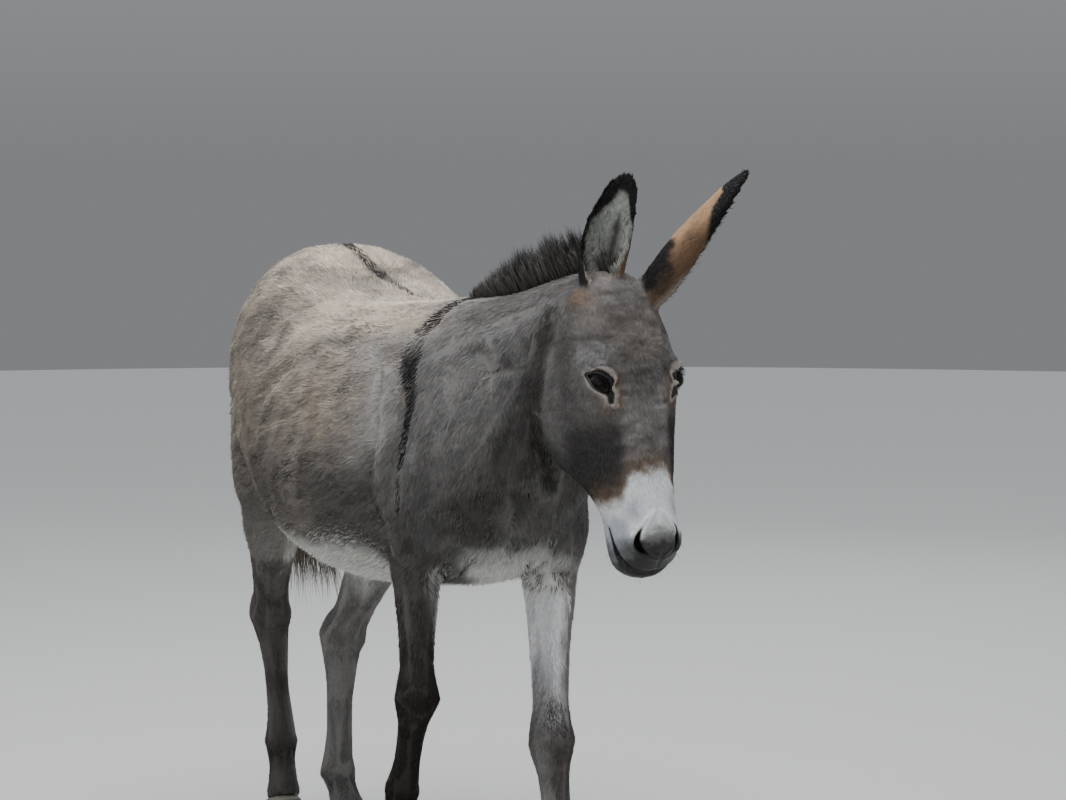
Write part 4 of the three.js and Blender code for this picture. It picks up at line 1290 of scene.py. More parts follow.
# ---- the skin ----
def shape_skin():
    """The skin's points and triangles, with all that the coat needs to know at each point."""
    points, faces = flesh_surface()
    net = Net(faces, len(points))
    shares = node_shares(points, net)
    sums = grouped(shares)
    broad = np.clip(sums["hide"] + 0.5 * sums["thigh"] * step(0.5, 0.66, points[:, 2]), 0, 1)
    near_ears = step(0.02, 0.3, sums["ear"])
    points = net.relax(points, 60, broad * (1 - near_ears))
    points = net.relax(points, 10, np.clip(1 - broad - 0.5 * sums["ear"], 0, 1))
    points = net.relax(points, 5)
    normal = normals_of(points, faces)
    points = sculpt_body(points, normal)
    points = round_tips(points, shares)
    plan = coat_plan(points, normal, sums)
    normal = normals_of(points, faces)
    inset = plan["depth"] * MM + CLOSE_GAPS
    for joint in JOINTS.values():
        crown = np.linalg.norm(points - cad(*joint["crown"]), axis=1)
        inset = inset * step(0.012, 0.052, crown)
    points = points - inset[:, None] * normal
    points, faces, shares = refined(points, faces, sums["head"] > 0.45, shares)
    sums = grouped(shares)
    net = Net(faces, len(points))
    points = net.relax(points, 6, step(0.3, 0.7, sums["head"]))
    points = sculpt_muzzle(points, normals_of(points, faces))
    head = in_head(points)
    fine = (eye_gap(head)[3] < 20) | ((mouth_line(head) < 11) & (head[:, 0] > 395))
    for side in (1, -1):
        s, a, w = nostril_frame(head, side)
        fine |= (np.hypot(s, a) < 27) & (np.abs(w) < 30)
    points, faces, shares = refined(points, faces, fine & (sums["head"] > 0.5), shares)
    points = sculpt_eyes(points)
    net = Net(faces, len(points))
    sums = grouped(shares)
    fine = step(18, 8, eye_gap(in_head(points))[3]) * (sums["head"] > 0.5)
    points = net.relax(points, 2, np.maximum(fine, 0.5 * step(0.3, 0.7, sums["head"])))
    normal = normals_of(points, faces)
    lie = hair_lie(points, normal, sums, net)
    colour, bare = markings(points, normal, sums)
    plan = coat_plan(points, normal, sums)
    # Tufts stand out more in the hollows, where flat ones would go under the skin.
    hollow = dot(net.spread(points, 6) - points, normal) / MM
    plan["lift"] = plan["lift"] + np.clip(HOLLOW_LIFT * hollow, 0, HOLLOW_MOST)
    hide = dict(points=points, faces=faces, normal=normal, lie=lie, colour=colour)
    hide.update(bare=bare, plan=plan, sums=sums)
    return hide


def paint(mesh, name, colours):
    """Stores one colour for each vertex."""
    layer = mesh.attributes.new(name, "FLOAT_COLOR", "POINT")
    rgba = np.ones((len(mesh.vertices), 4), np.float32)
    rgba[:, :3] = colours
    layer.data.foreach_set("color", rgba.ravel())


SKIN_TRIANGLES = 185000
SKIN_SHADE = 0.92  # the skin is a little darker than the hair over it
LEVELS = 10  # steps from the finest part of the skin to the coarsest


def skin_piece(hide):
    """The skin as a piece: fine on the head, coarser on the body."""
    piece = new_object("skin", hide["points"], hide["faces"])
    group = piece.vertex_groups.new(name="fine")
    body = step(0.7, 0.2, hide["sums"]["head"] + 0.7 * hide["sums"]["ear"])
    for level in range(LEVELS + 1):
        chosen = np.flatnonzero(np.round(body * LEVELS) == level)
        group.add(chosen.tolist(), level / LEVELS, "REPLACE")
    change = piece.modifiers.new("fewer", "DECIMATE")
    change.ratio = SKIN_TRIANGLES / len(hide["faces"])
    change.vertex_group = "fine"
    change.vertex_group_factor = 0.6
    mesh = applied(piece)
    piece.vertex_groups.clear()
    tree = KDTree(len(hide["points"]))
    for index, place in enumerate(hide["points"].tolist()):
        tree.insert(place, index)
    tree.balance()
    points, _ = read_mesh(mesh)
    source = np.array([tree.find(p)[1] for p in points.tolist()])
    paint(mesh, "coat", hide["colour"][source] * SKIN_SHADE)
    layer = mesh.attributes.new("bare", "FLOAT", "POINT")
    layer.data.foreach_set("value", hide["bare"][source].astype(np.float32))
    mesh.polygons.foreach_set("use_smooth", np.ones(len(mesh.polygons), bool))
    return piece


# ---- tufts ----
PATCH = 0.003  # each tuft's own place on the coat's map
SINK = 0.7 * MM
TUFT_FACES = np.array([(0, 2, 3), (1, 3, 2), (0, 3, 1), (0, 1, 2)])
TUFT_PATCH = np.array([(0, 0), (1, 0), (0.5, 0.3), (0.5, 1)])
TUFT_SHADE = np.array([0.80, 0.80, 0.98, 1.08])  # at the two corners of its root, its crown and its tip
TUFT_BEND = np.array([0.26, -0.26, 0, 0])  # how far its normals lean sideways and along it there
TUFT_AHEAD = np.array([-0.1, -0.1, 0, 0.22])
SHOWN = 0.55  # how far along a tuft the middle of its visible part is
CROSS_TRIM = 0.65  # how much shorter hair is that would cover the shoulder cross
CROSS_EDGE_TRIM = 0.25  # and hair that grows on it and reaches past its edge
FACE_LINE = (from_head(0, 0, -80), from_head(500, 0, -50))
NECK_LINE = (cad(470, 15, 930), cad(700, 105, 1110))
COAT_BREAK = -0.17  # where along the trunk its front coat pieces meet the rear ones


def spread_roots(hide):
    """Even random places on the skin: their triangles and their shares of each corner."""
    points, faces = hide["points"], hide["faces"]
    a, b, c = (points[faces[:, k]] for k in range(3))
    area = np.linalg.norm(np.cross(b - a, c - a), axis=1) / 2
    wanted = np.cumsum(area / MM**2 * hide["plan"]["number"][faces].mean(axis=1))
    count = int(wanted[-1])
    ticks = (np.arange(count) + RNG.random(count)) * wanted[-1] / count
    chosen = np.searchsorted(wanted, ticks).clip(0, len(faces) - 1)
    r, s = np.sqrt(RNG.random(count)), RNG.random(count)
    return faces[chosen], np.stack([1 - r, r * (1 - s), r * s], axis=1)


def at_roots(values, corners, weights):
    picked = values[corners]
    if picked.ndim == 3:
        return np.einsum("ncd,nc->nd", picked, weights)
    return (picked * weights).sum(axis=1)


def unwrapped(points, start, end, towards):
    """Places on an unwrap round the line from `start` to `end`: the shares of the way along and round it."""
    axis = unit(np.array(end) - start)
    towards = np.array(towards, float)
    zero = unit(towards - axis * (towards @ axis))
    rel = points - start
    place = np.stack([rel @ axis, np.arctan2(rel @ np.cross(axis, zero), rel @ zero)], axis=1)
    low, high = place.min(axis=0), place.max(axis=0)
    return (place - low) / np.maximum(high - low, 1e-9)


def with_map(mesh, corners):
    """Adds the coat's own map, from one place for each corner of a face."""
    layer = mesh.uv_layers.new(name="OFBake")
    layer.data.foreach_set("uv", np.asarray(corners, np.float32).ravel())


def tuft_piece(name, roots, normal, lie, length, width, lift, colour, uv):
    """A coat piece: closed tufts of four faces, dark at the root and pale at the tip."""
    count = len(roots)
    side = np.cross(normal, lie)
    rise = np.sin(lift)[:, None]
    base = roots - normal * SINK
    half = side * (width / 2)[:, None]
    crown = roots + normal * (width * 0.32)[:, None] + lie * (length * 0.08)[:, None]
    tip = roots + (lie * np.cos(lift)[:, None] + normal * rise) * length[:, None]
    points = np.stack([base + half, base - half, crown, tip], axis=1).reshape(-1, 3)
    faces = (TUFT_FACES[None] + 4 * np.arange(count)[:, None, None]).reshape(-1, 3)
    piece = new_object(name, points, faces)
    paint(piece.data, "coat", (colour[:, None, :] * TUFT_SHADE[:, None]).reshape(-1, 3))
    vectors = normal[:, None] + side[:, None] * TUFT_BEND[:, None] + lie[:, None] * TUFT_AHEAD[:, None]
    vectors = unit(vectors).reshape(-1, 3).astype(np.float32)
    piece.data.normals_split_custom_set_from_vertices(vectors.tolist())
    spots = uv.clip(0, 1 - PATCH)[:, None] + TUFT_PATCH * PATCH
    with_map(piece.data, spots[:, TUFT_FACES].reshape(-1, 2))
    return piece


def cell(uv, column, row, columns, rows):
    """Puts an unwrap that fills the map into one cell of it."""
    return (uv * 0.96 + 0.02 + (column, row)) / (columns, rows)


def coat_parts(points, normal, head, sums):
    """Each coat piece's name and parts: which tufts a part has, and the line and way to unwrap them by."""
    kinds = ["trunk", "neck", "head", "ear", "tail_dock", "thigh", "shank"]
    kind = np.array(kinds)[np.argmax(np.stack([sums[k] for k in kinds]), axis=0)]
    spine = [np.array([CAD_BOX[end][0], MID_Y, 0.9]) for end in (0, 1)]
    front = points[:, 0] > COAT_BREAK
    jobs = []
    for side, hand in (("left", 1), ("right", -1)):
        of_side = (points[:, 1] > MID_Y) == (side == "left")
        for end in ("front", "rear"):
            mine = (kind == "trunk") & of_side & (front == (end == "front"))
            if end == "rear":
                mine |= (kind == "tail_dock") & of_side
            jobs.append((f"coat_{end}_{side}", [(mine, spine, (0, hand, 0))]))
    jobs.append(("coat_neck", [(kind == "neck", NECK_LINE, (-1, 0, 0.6))]))
    for side, hand in (("left", 1), ("right", -1)):
        mine = (kind == "head") & ((head[:, 1] > 0) == (side == "left"))
        jobs.append((f"coat_head_{side}", [(mine, FACE_LINE, HEAD_AXES[1] * hand)]))
    parts = []
    for name in EARS:
        ear = ear_axes(name)
        inner = dot(normal, square_part(points - ear.foot, ear.up)) < 0
        mine = (kind == "ear") & (sums[name] > 0.3)
        line = [ear.foot, ear.foot + ear.up]
        parts += [(mine & inner, line, -ear.mouth), (mine & ~inner, line, -ear.mouth)]
    jobs.append(("coat_ears", parts))
    on_leg = (kind == "thigh") | (kind == "shank")
    enough = np.maximum(0.25, 0.5 * (sums["thigh"] + sums["shank"]))
    for pair in ("foreleg", "hindleg"):
        parts = []
        for leg in (f"{pair}_left", f"{pair}_right"):
            for part, top, low in (("upper", "elbow", "knee"), ("lower", "knee", "fetlock")):
                mine = on_leg & (sums[f"{leg}_{part}"] > enough)
                parts.append((mine, [cad(*JOINTS[leg][top]), cad(*JOINTS[leg][low])], (-1, 0, 0)))
        jobs.append((f"coat_{pair}s", parts))
    return jobs


def make_coat(hide):
    corners, weights = spread_roots(hide)
    root = {k: at_roots(hide[k], corners, weights) for k in ("points", "normal", "lie", "bare")}
    plan = {k: at_roots(v, corners, weights) for k, v in hide["plan"].items()}
    sums = {k: at_roots(v, corners, weights) for k, v in hide["sums"].items()}
    points, normal = root["points"], unit(root["normal"])
    count = len(points)
    head = in_head(points)
    # Locks: neighbouring tufts lean together, more so on the forehead.
    swirl = 0.35 * noise(points, 0.012, 61) + 0.25 * noise(points, 0.045, 62)
    face = step(0.5, 0.8, sums["head"]) * (1 - step(44, 66, np.abs(head[:, 1])))
    face = face * step(330, 290, head[:, 0]) * step(-40, -10, head[:, 2])
    swirl = swirl * (1 + 1.2 * face) + 0.8 * face * crinkle(head) + 0.12 * RNG.standard_normal(count)
    lie = unit(root["lie"] - dot(root["lie"], normal)[:, None] * normal)
    lie = lie * np.cos(swirl)[:, None] + np.cross(normal, lie) * np.sin(swirl)[:, None]
    length = plan["length"] * MM * RNG.uniform(0.7, 1.25, count)
    width = plan["width"] * MM * RNG.uniform(0.75, 1.2, count)
    # Hair that would cover the shoulder cross is short, and hair that grows on the cross is black.
    crossed = cross_share(points, normal)
    tips = cross_share(points + lie * length[:, None], normal)
    middles = cross_share(points + lie * (0.5 * length)[:, None], normal)
    length = length * (1 - CROSS_TRIM * np.maximum(np.maximum(tips, middles) - crossed, 0))
    length = length * (1 - CROSS_EDGE_TRIM * np.maximum(crossed - tips, 0))
    lift = plan["lift"] * (1 + 0.5 * noise(points, 0.010, 63)) * RNG.uniform(0.6, 1.5, count)
    shade = 0.13 * RNG.standard_normal(count)
    shade = shade + 0.10 * noise(points, 0.007, 64) + 0.09 * noise(points, 0.02, 65)
    # A tuft takes the markings of the place that it covers.
    colour, _ = markings(points + lie * (SHOWN * length)[:, None], normal, sums)
    colour = blend(colour, TINTS["black"], crossed)
    colour = colour * np.exp(shade)[:, None]
    colour = colour * (1 + 0.05 * RNG.standard_normal((count, 1)) * (1, 0.2, -0.8))
    keep = (root["bare"] < 0.35) & (RNG.random(count) > root["bare"])
    keep &= ~((sums["head"] > 0.5) & (eye_gap(head)[3] < 4.5))
    pieces = []
    for name, parts in coat_parts(points, normal, head, sums):
        uv = np.zeros((count, 2))
        mine = np.zeros(count, bool)
        for index, (chosen, line, towards) in enumerate(parts):
            chosen = chosen & keep & ~mine
            mine |= chosen
            place = unwrapped(points[chosen], *line, towards)
            if len(parts) > 1:
                place = cell(place, index % 2, index // 2, 2, 2)
            uv[chosen] = place
        arrays = (points, normal, lie, length, width, lift, colour, uv)
        pieces.append(tuft_piece(name, *(values[mine] for values in arrays)))
    return pieces


# ---- longer hair ----
LASHES = 230  # on each eye
LID_BEND = 340**0.5  # how far from the eye's middle the lashes' roots still follow its curve
WHISKERS = 90
EAR_LINING, EAR_EDGING = 1050, 700  # hairs in each ear and on its rims
MANE_HAIRS = 6200
TAIL_HAIRS = 1500
TAIL_END = 440  # the height in millimetres that the tail's longest hair reaches down to


def strand_piece(name, root, way, bend, length, width, colour, uv, segments, tip_shade=1.0):
    """Tapered three-sided hairs, each bent evenly from its first direction by `bend` at its tip."""
    count = len(root)
    share = np.arange(segments) / segments
    t = share[None, :, None]
    reach = length[:, None, None]
    centre = root[:, None] + reach * (way[:, None] * t + bend[:, None] * t**2)
    along_it = unit(way[:, None] + 2 * bend[:, None] * t)
    aside = unit(np.cross(along_it, unit(np.cross(way, (0.31, 0.95, 0.07)))[:, None]))
    other = np.cross(along_it, aside)
    radius = (width / 2)[:, None, None] * (1 - share**1.6 * 0.75)[None, :, None]
    rings = []
    for turn in (0, 2 * math.pi / 3, 4 * math.pi / 3):
        rings.append(centre + radius * (aside * math.cos(turn) + other * math.sin(turn)))
    ring_points = np.stack(rings, axis=2).reshape(count, segments * 3, 3)
    tip = root + length[:, None] * (way + bend)
    points = np.concatenate([ring_points, tip[:, None]], axis=1)
    quads, ends = [], [(0, 2, 1)]
    for k in range(segments - 1):
        for j in range(3):
            a, b = 3 * k + j, 3 * k + (j + 1) % 3
            quads.append((a, b, b + 3, a + 3))
    for j in range(3):
        ends.append((3 * (segments - 1) + j, 3 * (segments - 1) + (j + 1) % 3, 3 * segments))
    stride = (3 * segments + 1) * np.arange(count)[:, None, None]
    quads = (np.array(quads)[None] + stride).reshape(-1, 4)
    ends = (np.array(ends)[None] + stride).reshape(-1, 3)
    piece = new_object(name, points.reshape(-1, 3), [quads, ends])
    at = np.append(np.repeat(share, 3), 1.0)
    shade = 0.75 + 0.25 * at + (tip_shade - 1) * at
    paint(piece.data, "coat", (colour[:, None] * shade[None, :, None]).reshape(-1, 3))
    corner = np.stack([np.append(np.tile([0, 0.5, 1], segments), 0.5), at], axis=1) * PATCH
    places = (uv.clip(0, 1 - PATCH)[:, None] + corner).reshape(-1, 2)
    with_map(piece.data, places[np.concatenate([quads.ravel(), ends.ravel()])])
    return piece


def pick(share, count):
    """Random places in an array, likelier where the share is larger."""
    chance = np.maximum(share, 0)
    return RNG.choice(len(chance), count, p=chance / chance.sum())


CREST = [cad(*p) for p in (
    (322, 0, 1152), (395, 9, 1153), (450, 17, 1158), (510, 33, 1167), (572, 55, 1184), (632, 82, 1202),
    (690, 104, 1212), (722, 114, 1206),
)]
MANE_HEIGHT = (8, 36, 60, 77, 86, 84, 68, 40)  # at the crest's stations, and half its width there
MANE_WIDTH = (5, 11, 14, 16, 16, 15, 13, 9)


def make_mane(hide):
    rows = np.linspace(0, 1, len(CREST))
    gap, share = along(hide["points"], CREST)
    wide = np.interp(share, rows, MANE_WIDTH) * MM
    near = step(1.25, 0.8, gap / wide) * (hide["normal"][:, 2] > 0.1) * (hide["sums"]["ear"] < 0.2)
    finer = np.where(hide["sums"]["head"] > 0.45, 0.25, 1.0)  # the head's skin has more points
    chosen = pick(near * finer, MANE_HAIRS)
    sunk = 2 * MM * hide["normal"][chosen]
    root = hide["points"][chosen] + RNG.normal(0, 1.2 * MM, (len(chosen), 3)) - sunk
    gap, share = along(root, CREST)
    run = unit(at_share(share, np.gradient(np.array(CREST), axis=0)))
    aside = root - at_share(share, CREST)
    aside -= dot(aside, run)[:, None] * run
    clump = np.stack([noise(root, 0.011, 70 + k) for k in range(3)], axis=1)
    up = unit(np.cross(np.cross(run, (0, 0, 1.0)), run))
    way = unit(up + aside * 11 + 0.16 * clump - 0.10 * run + RNG.normal(0, 0.07, root.shape))
    height = np.interp(share, rows, MANE_HEIGHT) * MM
    edge = np.clip(gap / (np.interp(share, rows, MANE_WIDTH) * MM), 0, 1.3)
    length = height * (1.02 - 0.42 * edge**2) * RNG.uniform(0.78, 1.08, len(root)) * (1 + 0.13 * clump[:, 0])
    bend = 0.10 * clump - 0.06 * run + aside * 2 + RNG.normal(0, 0.03, root.shape)
    grizzle = np.clip(edge - 0.62 + 0.2 * RNG.standard_normal(len(root)), 0, 0.5)[:, None]
    colour = np.tile((0.008, 0.007, 0.007), (len(root), 1)) + grizzle * (0.12, 0.11, 0.10)
    colour *= np.exp(0.25 * RNG.standard_normal((len(root), 1)))
    uv = np.stack([share, 0.5 + 0.45 * np.sign(aside[:, 1]) * np.minimum(edge, 1)], axis=1)
    width = RNG.uniform(0.9, 1.7, len(root)) * MM
    return strand_piece("mane_hair", root, way, bend, length, width, colour, uv, 4, 1.5)


def make_tail(hide):
    """The switch: long hair from the lower dock, hanging down and swung a little to the left and forward."""
    place = (hide["points"] - SHIFT) / MM
    tail = hide["sums"]["tail_dock"] * step(900, 780, place[:, 2])
    chosen = pick(tail, TAIL_HAIRS)
    root, normal = hide["points"][chosen], hide["normal"][chosen]
    low = step(900, 740, place[chosen][:, 2])
    way = unit(normal * (0.30 - 0.12 * low)[:, None] + (0.04, 0.02, -1) + RNG.normal(0, 0.05, root.shape))
    lock = np.stack([noise(root, 0.014, 80 + k) for k in range(3)], axis=1)
    bend = (0.03, 0.03, -0.02) + 0.10 * lock - 0.10 * normal + RNG.normal(0, 0.03, root.shape)
    room = place[chosen][:, 2] - TAIL_END
    length = np.minimum(room, 130 + 190 * low) * MM * RNG.uniform(0.6, 1.0, len(root))
    sandy = (RNG.random(len(root)) < 0.65)[:, None]
    colour = np.where(sandy, (0.20, 0.160, 0.110), (0.045, 0.038, 0.031))
    colour = colour * np.exp(0.3 * RNG.standard_normal((len(root), 1)))
    uv = unwrapped(root, cad(-706, 18, 900), cad(-700, 26, 740), (1, 0, 0))
    width = RNG.uniform(1.2, 2.4, len(root)) * MM
    return strand_piece("tail_hair", root, way, bend, length, width, colour, uv, 7, 1.2)


def make_fringes(hide):
    """Long pale hair in the ears, dark hair on their rims, and tufts at their feet."""
    roots, ways, bends, lengths, colours, uvs = [], [], [], [], [], []
    for index, (name, hand) in enumerate(zip(EARS, (1, -1))):
        ear = ear_axes(name)
        share, angle = ear_place(hide["points"], name)
        inside = dot(hide["normal"], square_part(hide["points"] - ear.foot, ear.up)) < 0
        rim = rim_share(share, angle)
        mine = hide["sums"][name] > 0.4
        lining = mine * inside * step(0.86, 0.6, share) * step(-0.02, 0.05, share)
        lining = lining * (0.25 + step(0.4, 0.9, rim))
        lining = lining * (1 - 0.97 * ear_streak(share, angle * hand) * step(0.1, 0.2, share))
        edging = mine * step(0.8, 0.95, rim) * (share > 0.06)
        for kind, chance, count in (("lining", lining, EAR_LINING), ("edging", edging, EAR_EDGING)):
            chosen = pick(chance, count)
            root, normal = hide["points"][chosen], hide["normal"][chosen]
            s, turn = share[chosen], angle[chosen]
            across = np.sign(turn)[:, None] * ear.across
            if kind == "lining":
                forward = 0.5 * np.abs(np.tanh(turn))[:, None] * ear.mouth
                way = unit(0.75 * ear.up + forward - 0.15 * across + 0.25 * normal)
                length = np.interp(s, (0, 0.2, 0.6, 0.9), (32, 20, 11, 7)) * MM
                colour = blend(hide["colour"][chosen] * 1.2, (0.62, 0.60, 0.52), 0.75 * step(0.22, 0.08, s))
            else:
                way = unit(1.1 * ear.up + 0.16 * ear.mouth + 0.06 * across)
                length = np.interp(s, (0, 0.15, 0.4, 1), (18, 11, 5, 4)) * MM
                fore_rim = (turn * hand > 0) * step(0.62, 0.50, s)
                pale = np.maximum(step(0.30, 0.12, s), 0.8 * fore_rim)
                colour = blend(hide["colour"][chosen], TINTS["beige"], pale)
            way = unit(way + RNG.normal(0, 0.12, way.shape))
            roots.append(root - 0.5 * MM * normal)
            ways.append(way)
            bends.append(0.12 * ear.up + RNG.normal(0, 0.08, way.shape))
            lengths.append(length * RNG.uniform(0.6, 1.15, count))
            colours.append(colour * np.exp(0.12 * RNG.standard_normal((count, 1))))
            place = unwrapped(root, ear.foot, ear.foot + ear.up, -ear.mouth)
            uvs.append(cell(place, index, int(kind == "edging"), 2, 2))
    arrays = [np.concatenate(v) for v in (roots, ways, bends, lengths)]
    width = RNG.uniform(0.6, 1.1, len(arrays[0])) * MM
    return strand_piece("ear_hair", *arrays, width, np.concatenate(colours), np.concatenate(uvs), 3)


def make_lashes():
    """Lashes along each upper lid."""
    roots, ways, lengths = [], [], []
    for side in (1, -1):
        u_way, v_way, axis = eye_axes(side)
        for _ in range(LASHES):
            s = RNG.uniform(-0.92, 0.95)
            v = UPPER_LID * (1 - s * s) ** 0.5 * (1 + 0.15 * s) + RNG.uniform(0.4, 2.4)
            u = s * APERTURE
            w = math.sqrt(LID**2 - min(u * u + v * v, LID_BEND**2)) + 0.4
            place = (u * u_way + v * v_way + w * axis) * MM
            way = axis * 1.0 + v_way * RNG.uniform(-0.35, 0.05) + u_way * (0.35 * s + RNG.normal(0, 0.1))
            roots.append(eye_centre(side) + place @ HEAD_AXES)
            ways.append(unit(way) @ HEAD_AXES)
            lengths.append(RNG.uniform(9, 17) * (1 - 0.35 * abs(s)))
    count = len(roots)
    root, way = np.array(roots), unit(np.array(ways))
    bend = np.tile(HEAD_AXES[0] * 0.28, (count, 1)) + RNG.normal(0, 0.04, (count, 3))
    colour = np.tile((0.014, 0.012, 0.012), (count, 1))
    uv = unwrapped(root, *FACE_LINE, HEAD_AXES[1])
    length, width = np.array(lengths) * MM, np.full(count, 0.5 * MM)
    return strand_piece("eyelashes", root, way, bend, length, width, colour, uv, 3)


def make_whiskers(hide):
    head = in_head(hide["points"])
    down, side, out = head.T
    chance = (hide["sums"]["head"] > 0.8) * step(425, 470, down) * (np.abs(side) > 14) * step(0, -20, out)
    chosen = pick(chance, WHISKERS)
    root, normal = hide["points"][chosen], hide["normal"][chosen]
    way = unit(normal + 0.5 * HEAD_AXES[0] + RNG.normal(0, 0.2, root.shape))
    bend = 0.2 * HEAD_AXES[0] + RNG.normal(0, 0.08, root.shape)
    length = RNG.uniform(6, 15, len(root)) * MM
    colour = np.where((RNG.random(len(root)) < 0.5)[:, None], (0.22, 0.22, 0.21), (0.05, 0.05, 0.05))
    width = np.full(len(root), 0.35 * MM)
    uv = unwrapped(root, *FACE_LINE, HEAD_AXES[1])
    return strand_piece("whiskers", root, way, bend, length, width, colour, uv, 3)


# ---- eyes and hooves ----
def make_eye(name, side):
    """A moist globe with a raised cornea, a brown iris and a long level pupil."""
    axis = unit(EYE_AXIS * (1, side, 1) @ HEAD_AXES)
    level = unit(np.cross(axis, (0, 0, 1.0)))
    tall = np.cross(level, axis)
    points, faces = ball(np.zeros(3), 1.0, np.stack([level, tall, axis]), 64, 48)
    high, wide, far = points @ tall, points @ level, points @ axis
    angle = np.arccos(np.clip(far, -1, 1))
    radius = EYE_RADIUS * 0.985 * (1 + 0.045 * step(0.75, 0.25, angle))
    spot = np.hypot(high, wide)
    ray = 0.5 + 0.5 * np.sin(40 * np.arctan2(high, wide) + 6 * spot)
    colour = np.tile((0.008, 0.005, 0.004), (len(points), 1)) * (0.7 + 0.6 * ray)[:, None]
    colour = blend(colour, (0.006, 0.004, 0.004), step(0.52, 0.62, spot))
    pupil = np.hypot(wide / 0.34, high / 0.15)
    colour = blend(colour, (0.002, 0.002, 0.003), step(1.15, 0.85, pupil))
    colour = blend(colour, (0.030, 0.022, 0.020), step(0.66, 0.80, spot))
    piece = new_object(name, eye_centre(side) + points * radius[:, None], faces)
    paint(piece.data, "coat", colour)
    return piece


HOOF_TURN = {"foreleg_right": math.radians(70)}
HOOF_FOOT = {
    "foreleg_left": (592, 98, 0), "foreleg_right": (297, -146, 160),
    "hindleg_left": (-384, 13, 0), "hindleg_right": (-566, -72, 0),
}
GROWTH_RINGS = 11


def make_hoof(leg):
    """A hoof of ringed horn, with a coronet above and a frog and hollow sole beneath."""
    points, faces = welded(*read_mesh(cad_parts[f"{leg}_hoof"].data))
    flat = points[:, 2].min()
    points, faces = remeshed(points, faces, 2.2 * MM)
    net = Net(faces, len(points))
    points = net.relax(points, 10)
    turn = np.array(Matrix.Rotation(HOOF_TURN.get(leg, 0.0), 3, "Y"))
    foot = cad(*HOOF_FOOT[leg])
    local = (points - foot) @ turn / MM
    normal = normals_of(points, faces)
    local_normal = normal @ turn
    x, y, z = local.T
    height = z / (56 + 0.36 * (x + 19))
    wall = step(0.75, 0.3, np.abs(local_normal[:, 2]))
    rings = np.sin(2 * math.pi * (GROWTH_RINGS * height + 0.5 * noise(points, 0.03, 90)))
    push = wall * (0.35 * rings + 0.5 * noise(points, 0.02, 91)) * step(0.05, 0.2, height)
    push += wall * 0.9 * bell(height - 0.93, 0.06)
    push -= 0.8 * wall * step(0.3, 0.0, height) * (noise(points, 0.008, 92) > 0.35)
    sole = step(-0.5, -0.85, local_normal[:, 2])
    rim = np.hypot((x + 1) / 47, y / 41)
    frog = step(1.0, 0.5, np.abs(y) / np.maximum(2 + 0.30 * (14 - x), 1)) * step(16, 6, x)
    hollow = 5.5 * step(0.93, 0.72, rim) - 4.0 * frog * step(0.95, 0.85, rim) + 2.0 * bell(y, 1.6) * frog
    push -= sole * hollow
    local = local + local_normal * push[:, None]
    points = foot + local @ turn.T * MM
    points[:, 2] = np.maximum(points[:, 2], flat)
    piece = new_object(f"{leg}_horn", points, faces)
    streak = noise(np.stack([x, y, z / 9], axis=1), 2.4, 93)
    colour = np.tile((0.060, 0.055, 0.047), (len(points), 1)) * (1 + 0.25 * streak + 0.18 * rings)[:, None]
    colour = blend(colour, (0.150, 0.140, 0.115), 0.7 * step(0.78, 0.95, height))
    colour = blend(colour, (0.120, 0.108, 0.085), 0.6 * step(0.25, 0.0, height) * wall)
    colour = blend(colour, (0.100, 0.090, 0.075), sole)
    paint(piece.data, "coat", np.clip(colour, 0.01, 0.9))
    change = piece.modifiers.new("fewer", "DECIMATE")
    change.ratio = 0.45
    mesh = applied(piece)
    mesh.polygons.foreach_set("use_smooth", np.ones(len(mesh.polygons), bool))
    return piece


# ---- materials ----
def material(name, roughness, specular=0.35):
    """A material. Returns it, a maker of nodes, and a way to join a node's output to its shader."""
    made = bpy.data.materials.new(name)
    made.use_nodes = True
    shader = made.node_tree.nodes["Principled BSDF"]
    shader.inputs["Roughness"].default_value = roughness
    shader.inputs["Specular IOR Level"].default_value = specular

    def node(kind, links=(), **values):
        added = made.node_tree.nodes.new(kind)
        for key, value in values.items():
            if key in added.inputs:
                added.inputs[key].default_value = value
            else:
                setattr(added, key, value)
        for key, source in dict(links).items():
            made.node_tree.links.new(source, added.inputs[key])
        return added

    def join(source, socket):
        made.node_tree.links.new(source, shader.inputs[socket])

    return made, node, join


def ranged(node, source, low, high):
    """A value from `low` to `high`."""
    made = node("ShaderNodeMapRange", {"Value": source})
    made.inputs["To Min"].default_value = low
    made.inputs["To Max"].default_value = high
    return made.outputs["Result"]


def varied(node, source, low, high):
    """The markings' colour, lighter and darker by a noise pattern."""
    mark = node("ShaderNodeAttribute", attribute_name="coat")
    mixed = node("ShaderNodeVectorMath", {0: mark.outputs["Color"]}, operation="SCALE")
    mixed.id_data.links.new(ranged(node, source, low, high), mixed.inputs["Scale"])
    return mixed.outputs["Vector"]


def grain_of(node, stretch, scale, detail=3.0):
    place = node("ShaderNodeTexCoord")
    turned = node("ShaderNodeMapping", {"Vector": place.outputs["Object"]})
    turned.inputs["Scale"].default_value = stretch
    grain = node("ShaderNodeTexNoise", {"Vector": turned.outputs["Vector"]}, Scale=scale, Detail=detail)
    return grain.outputs["Fac"]


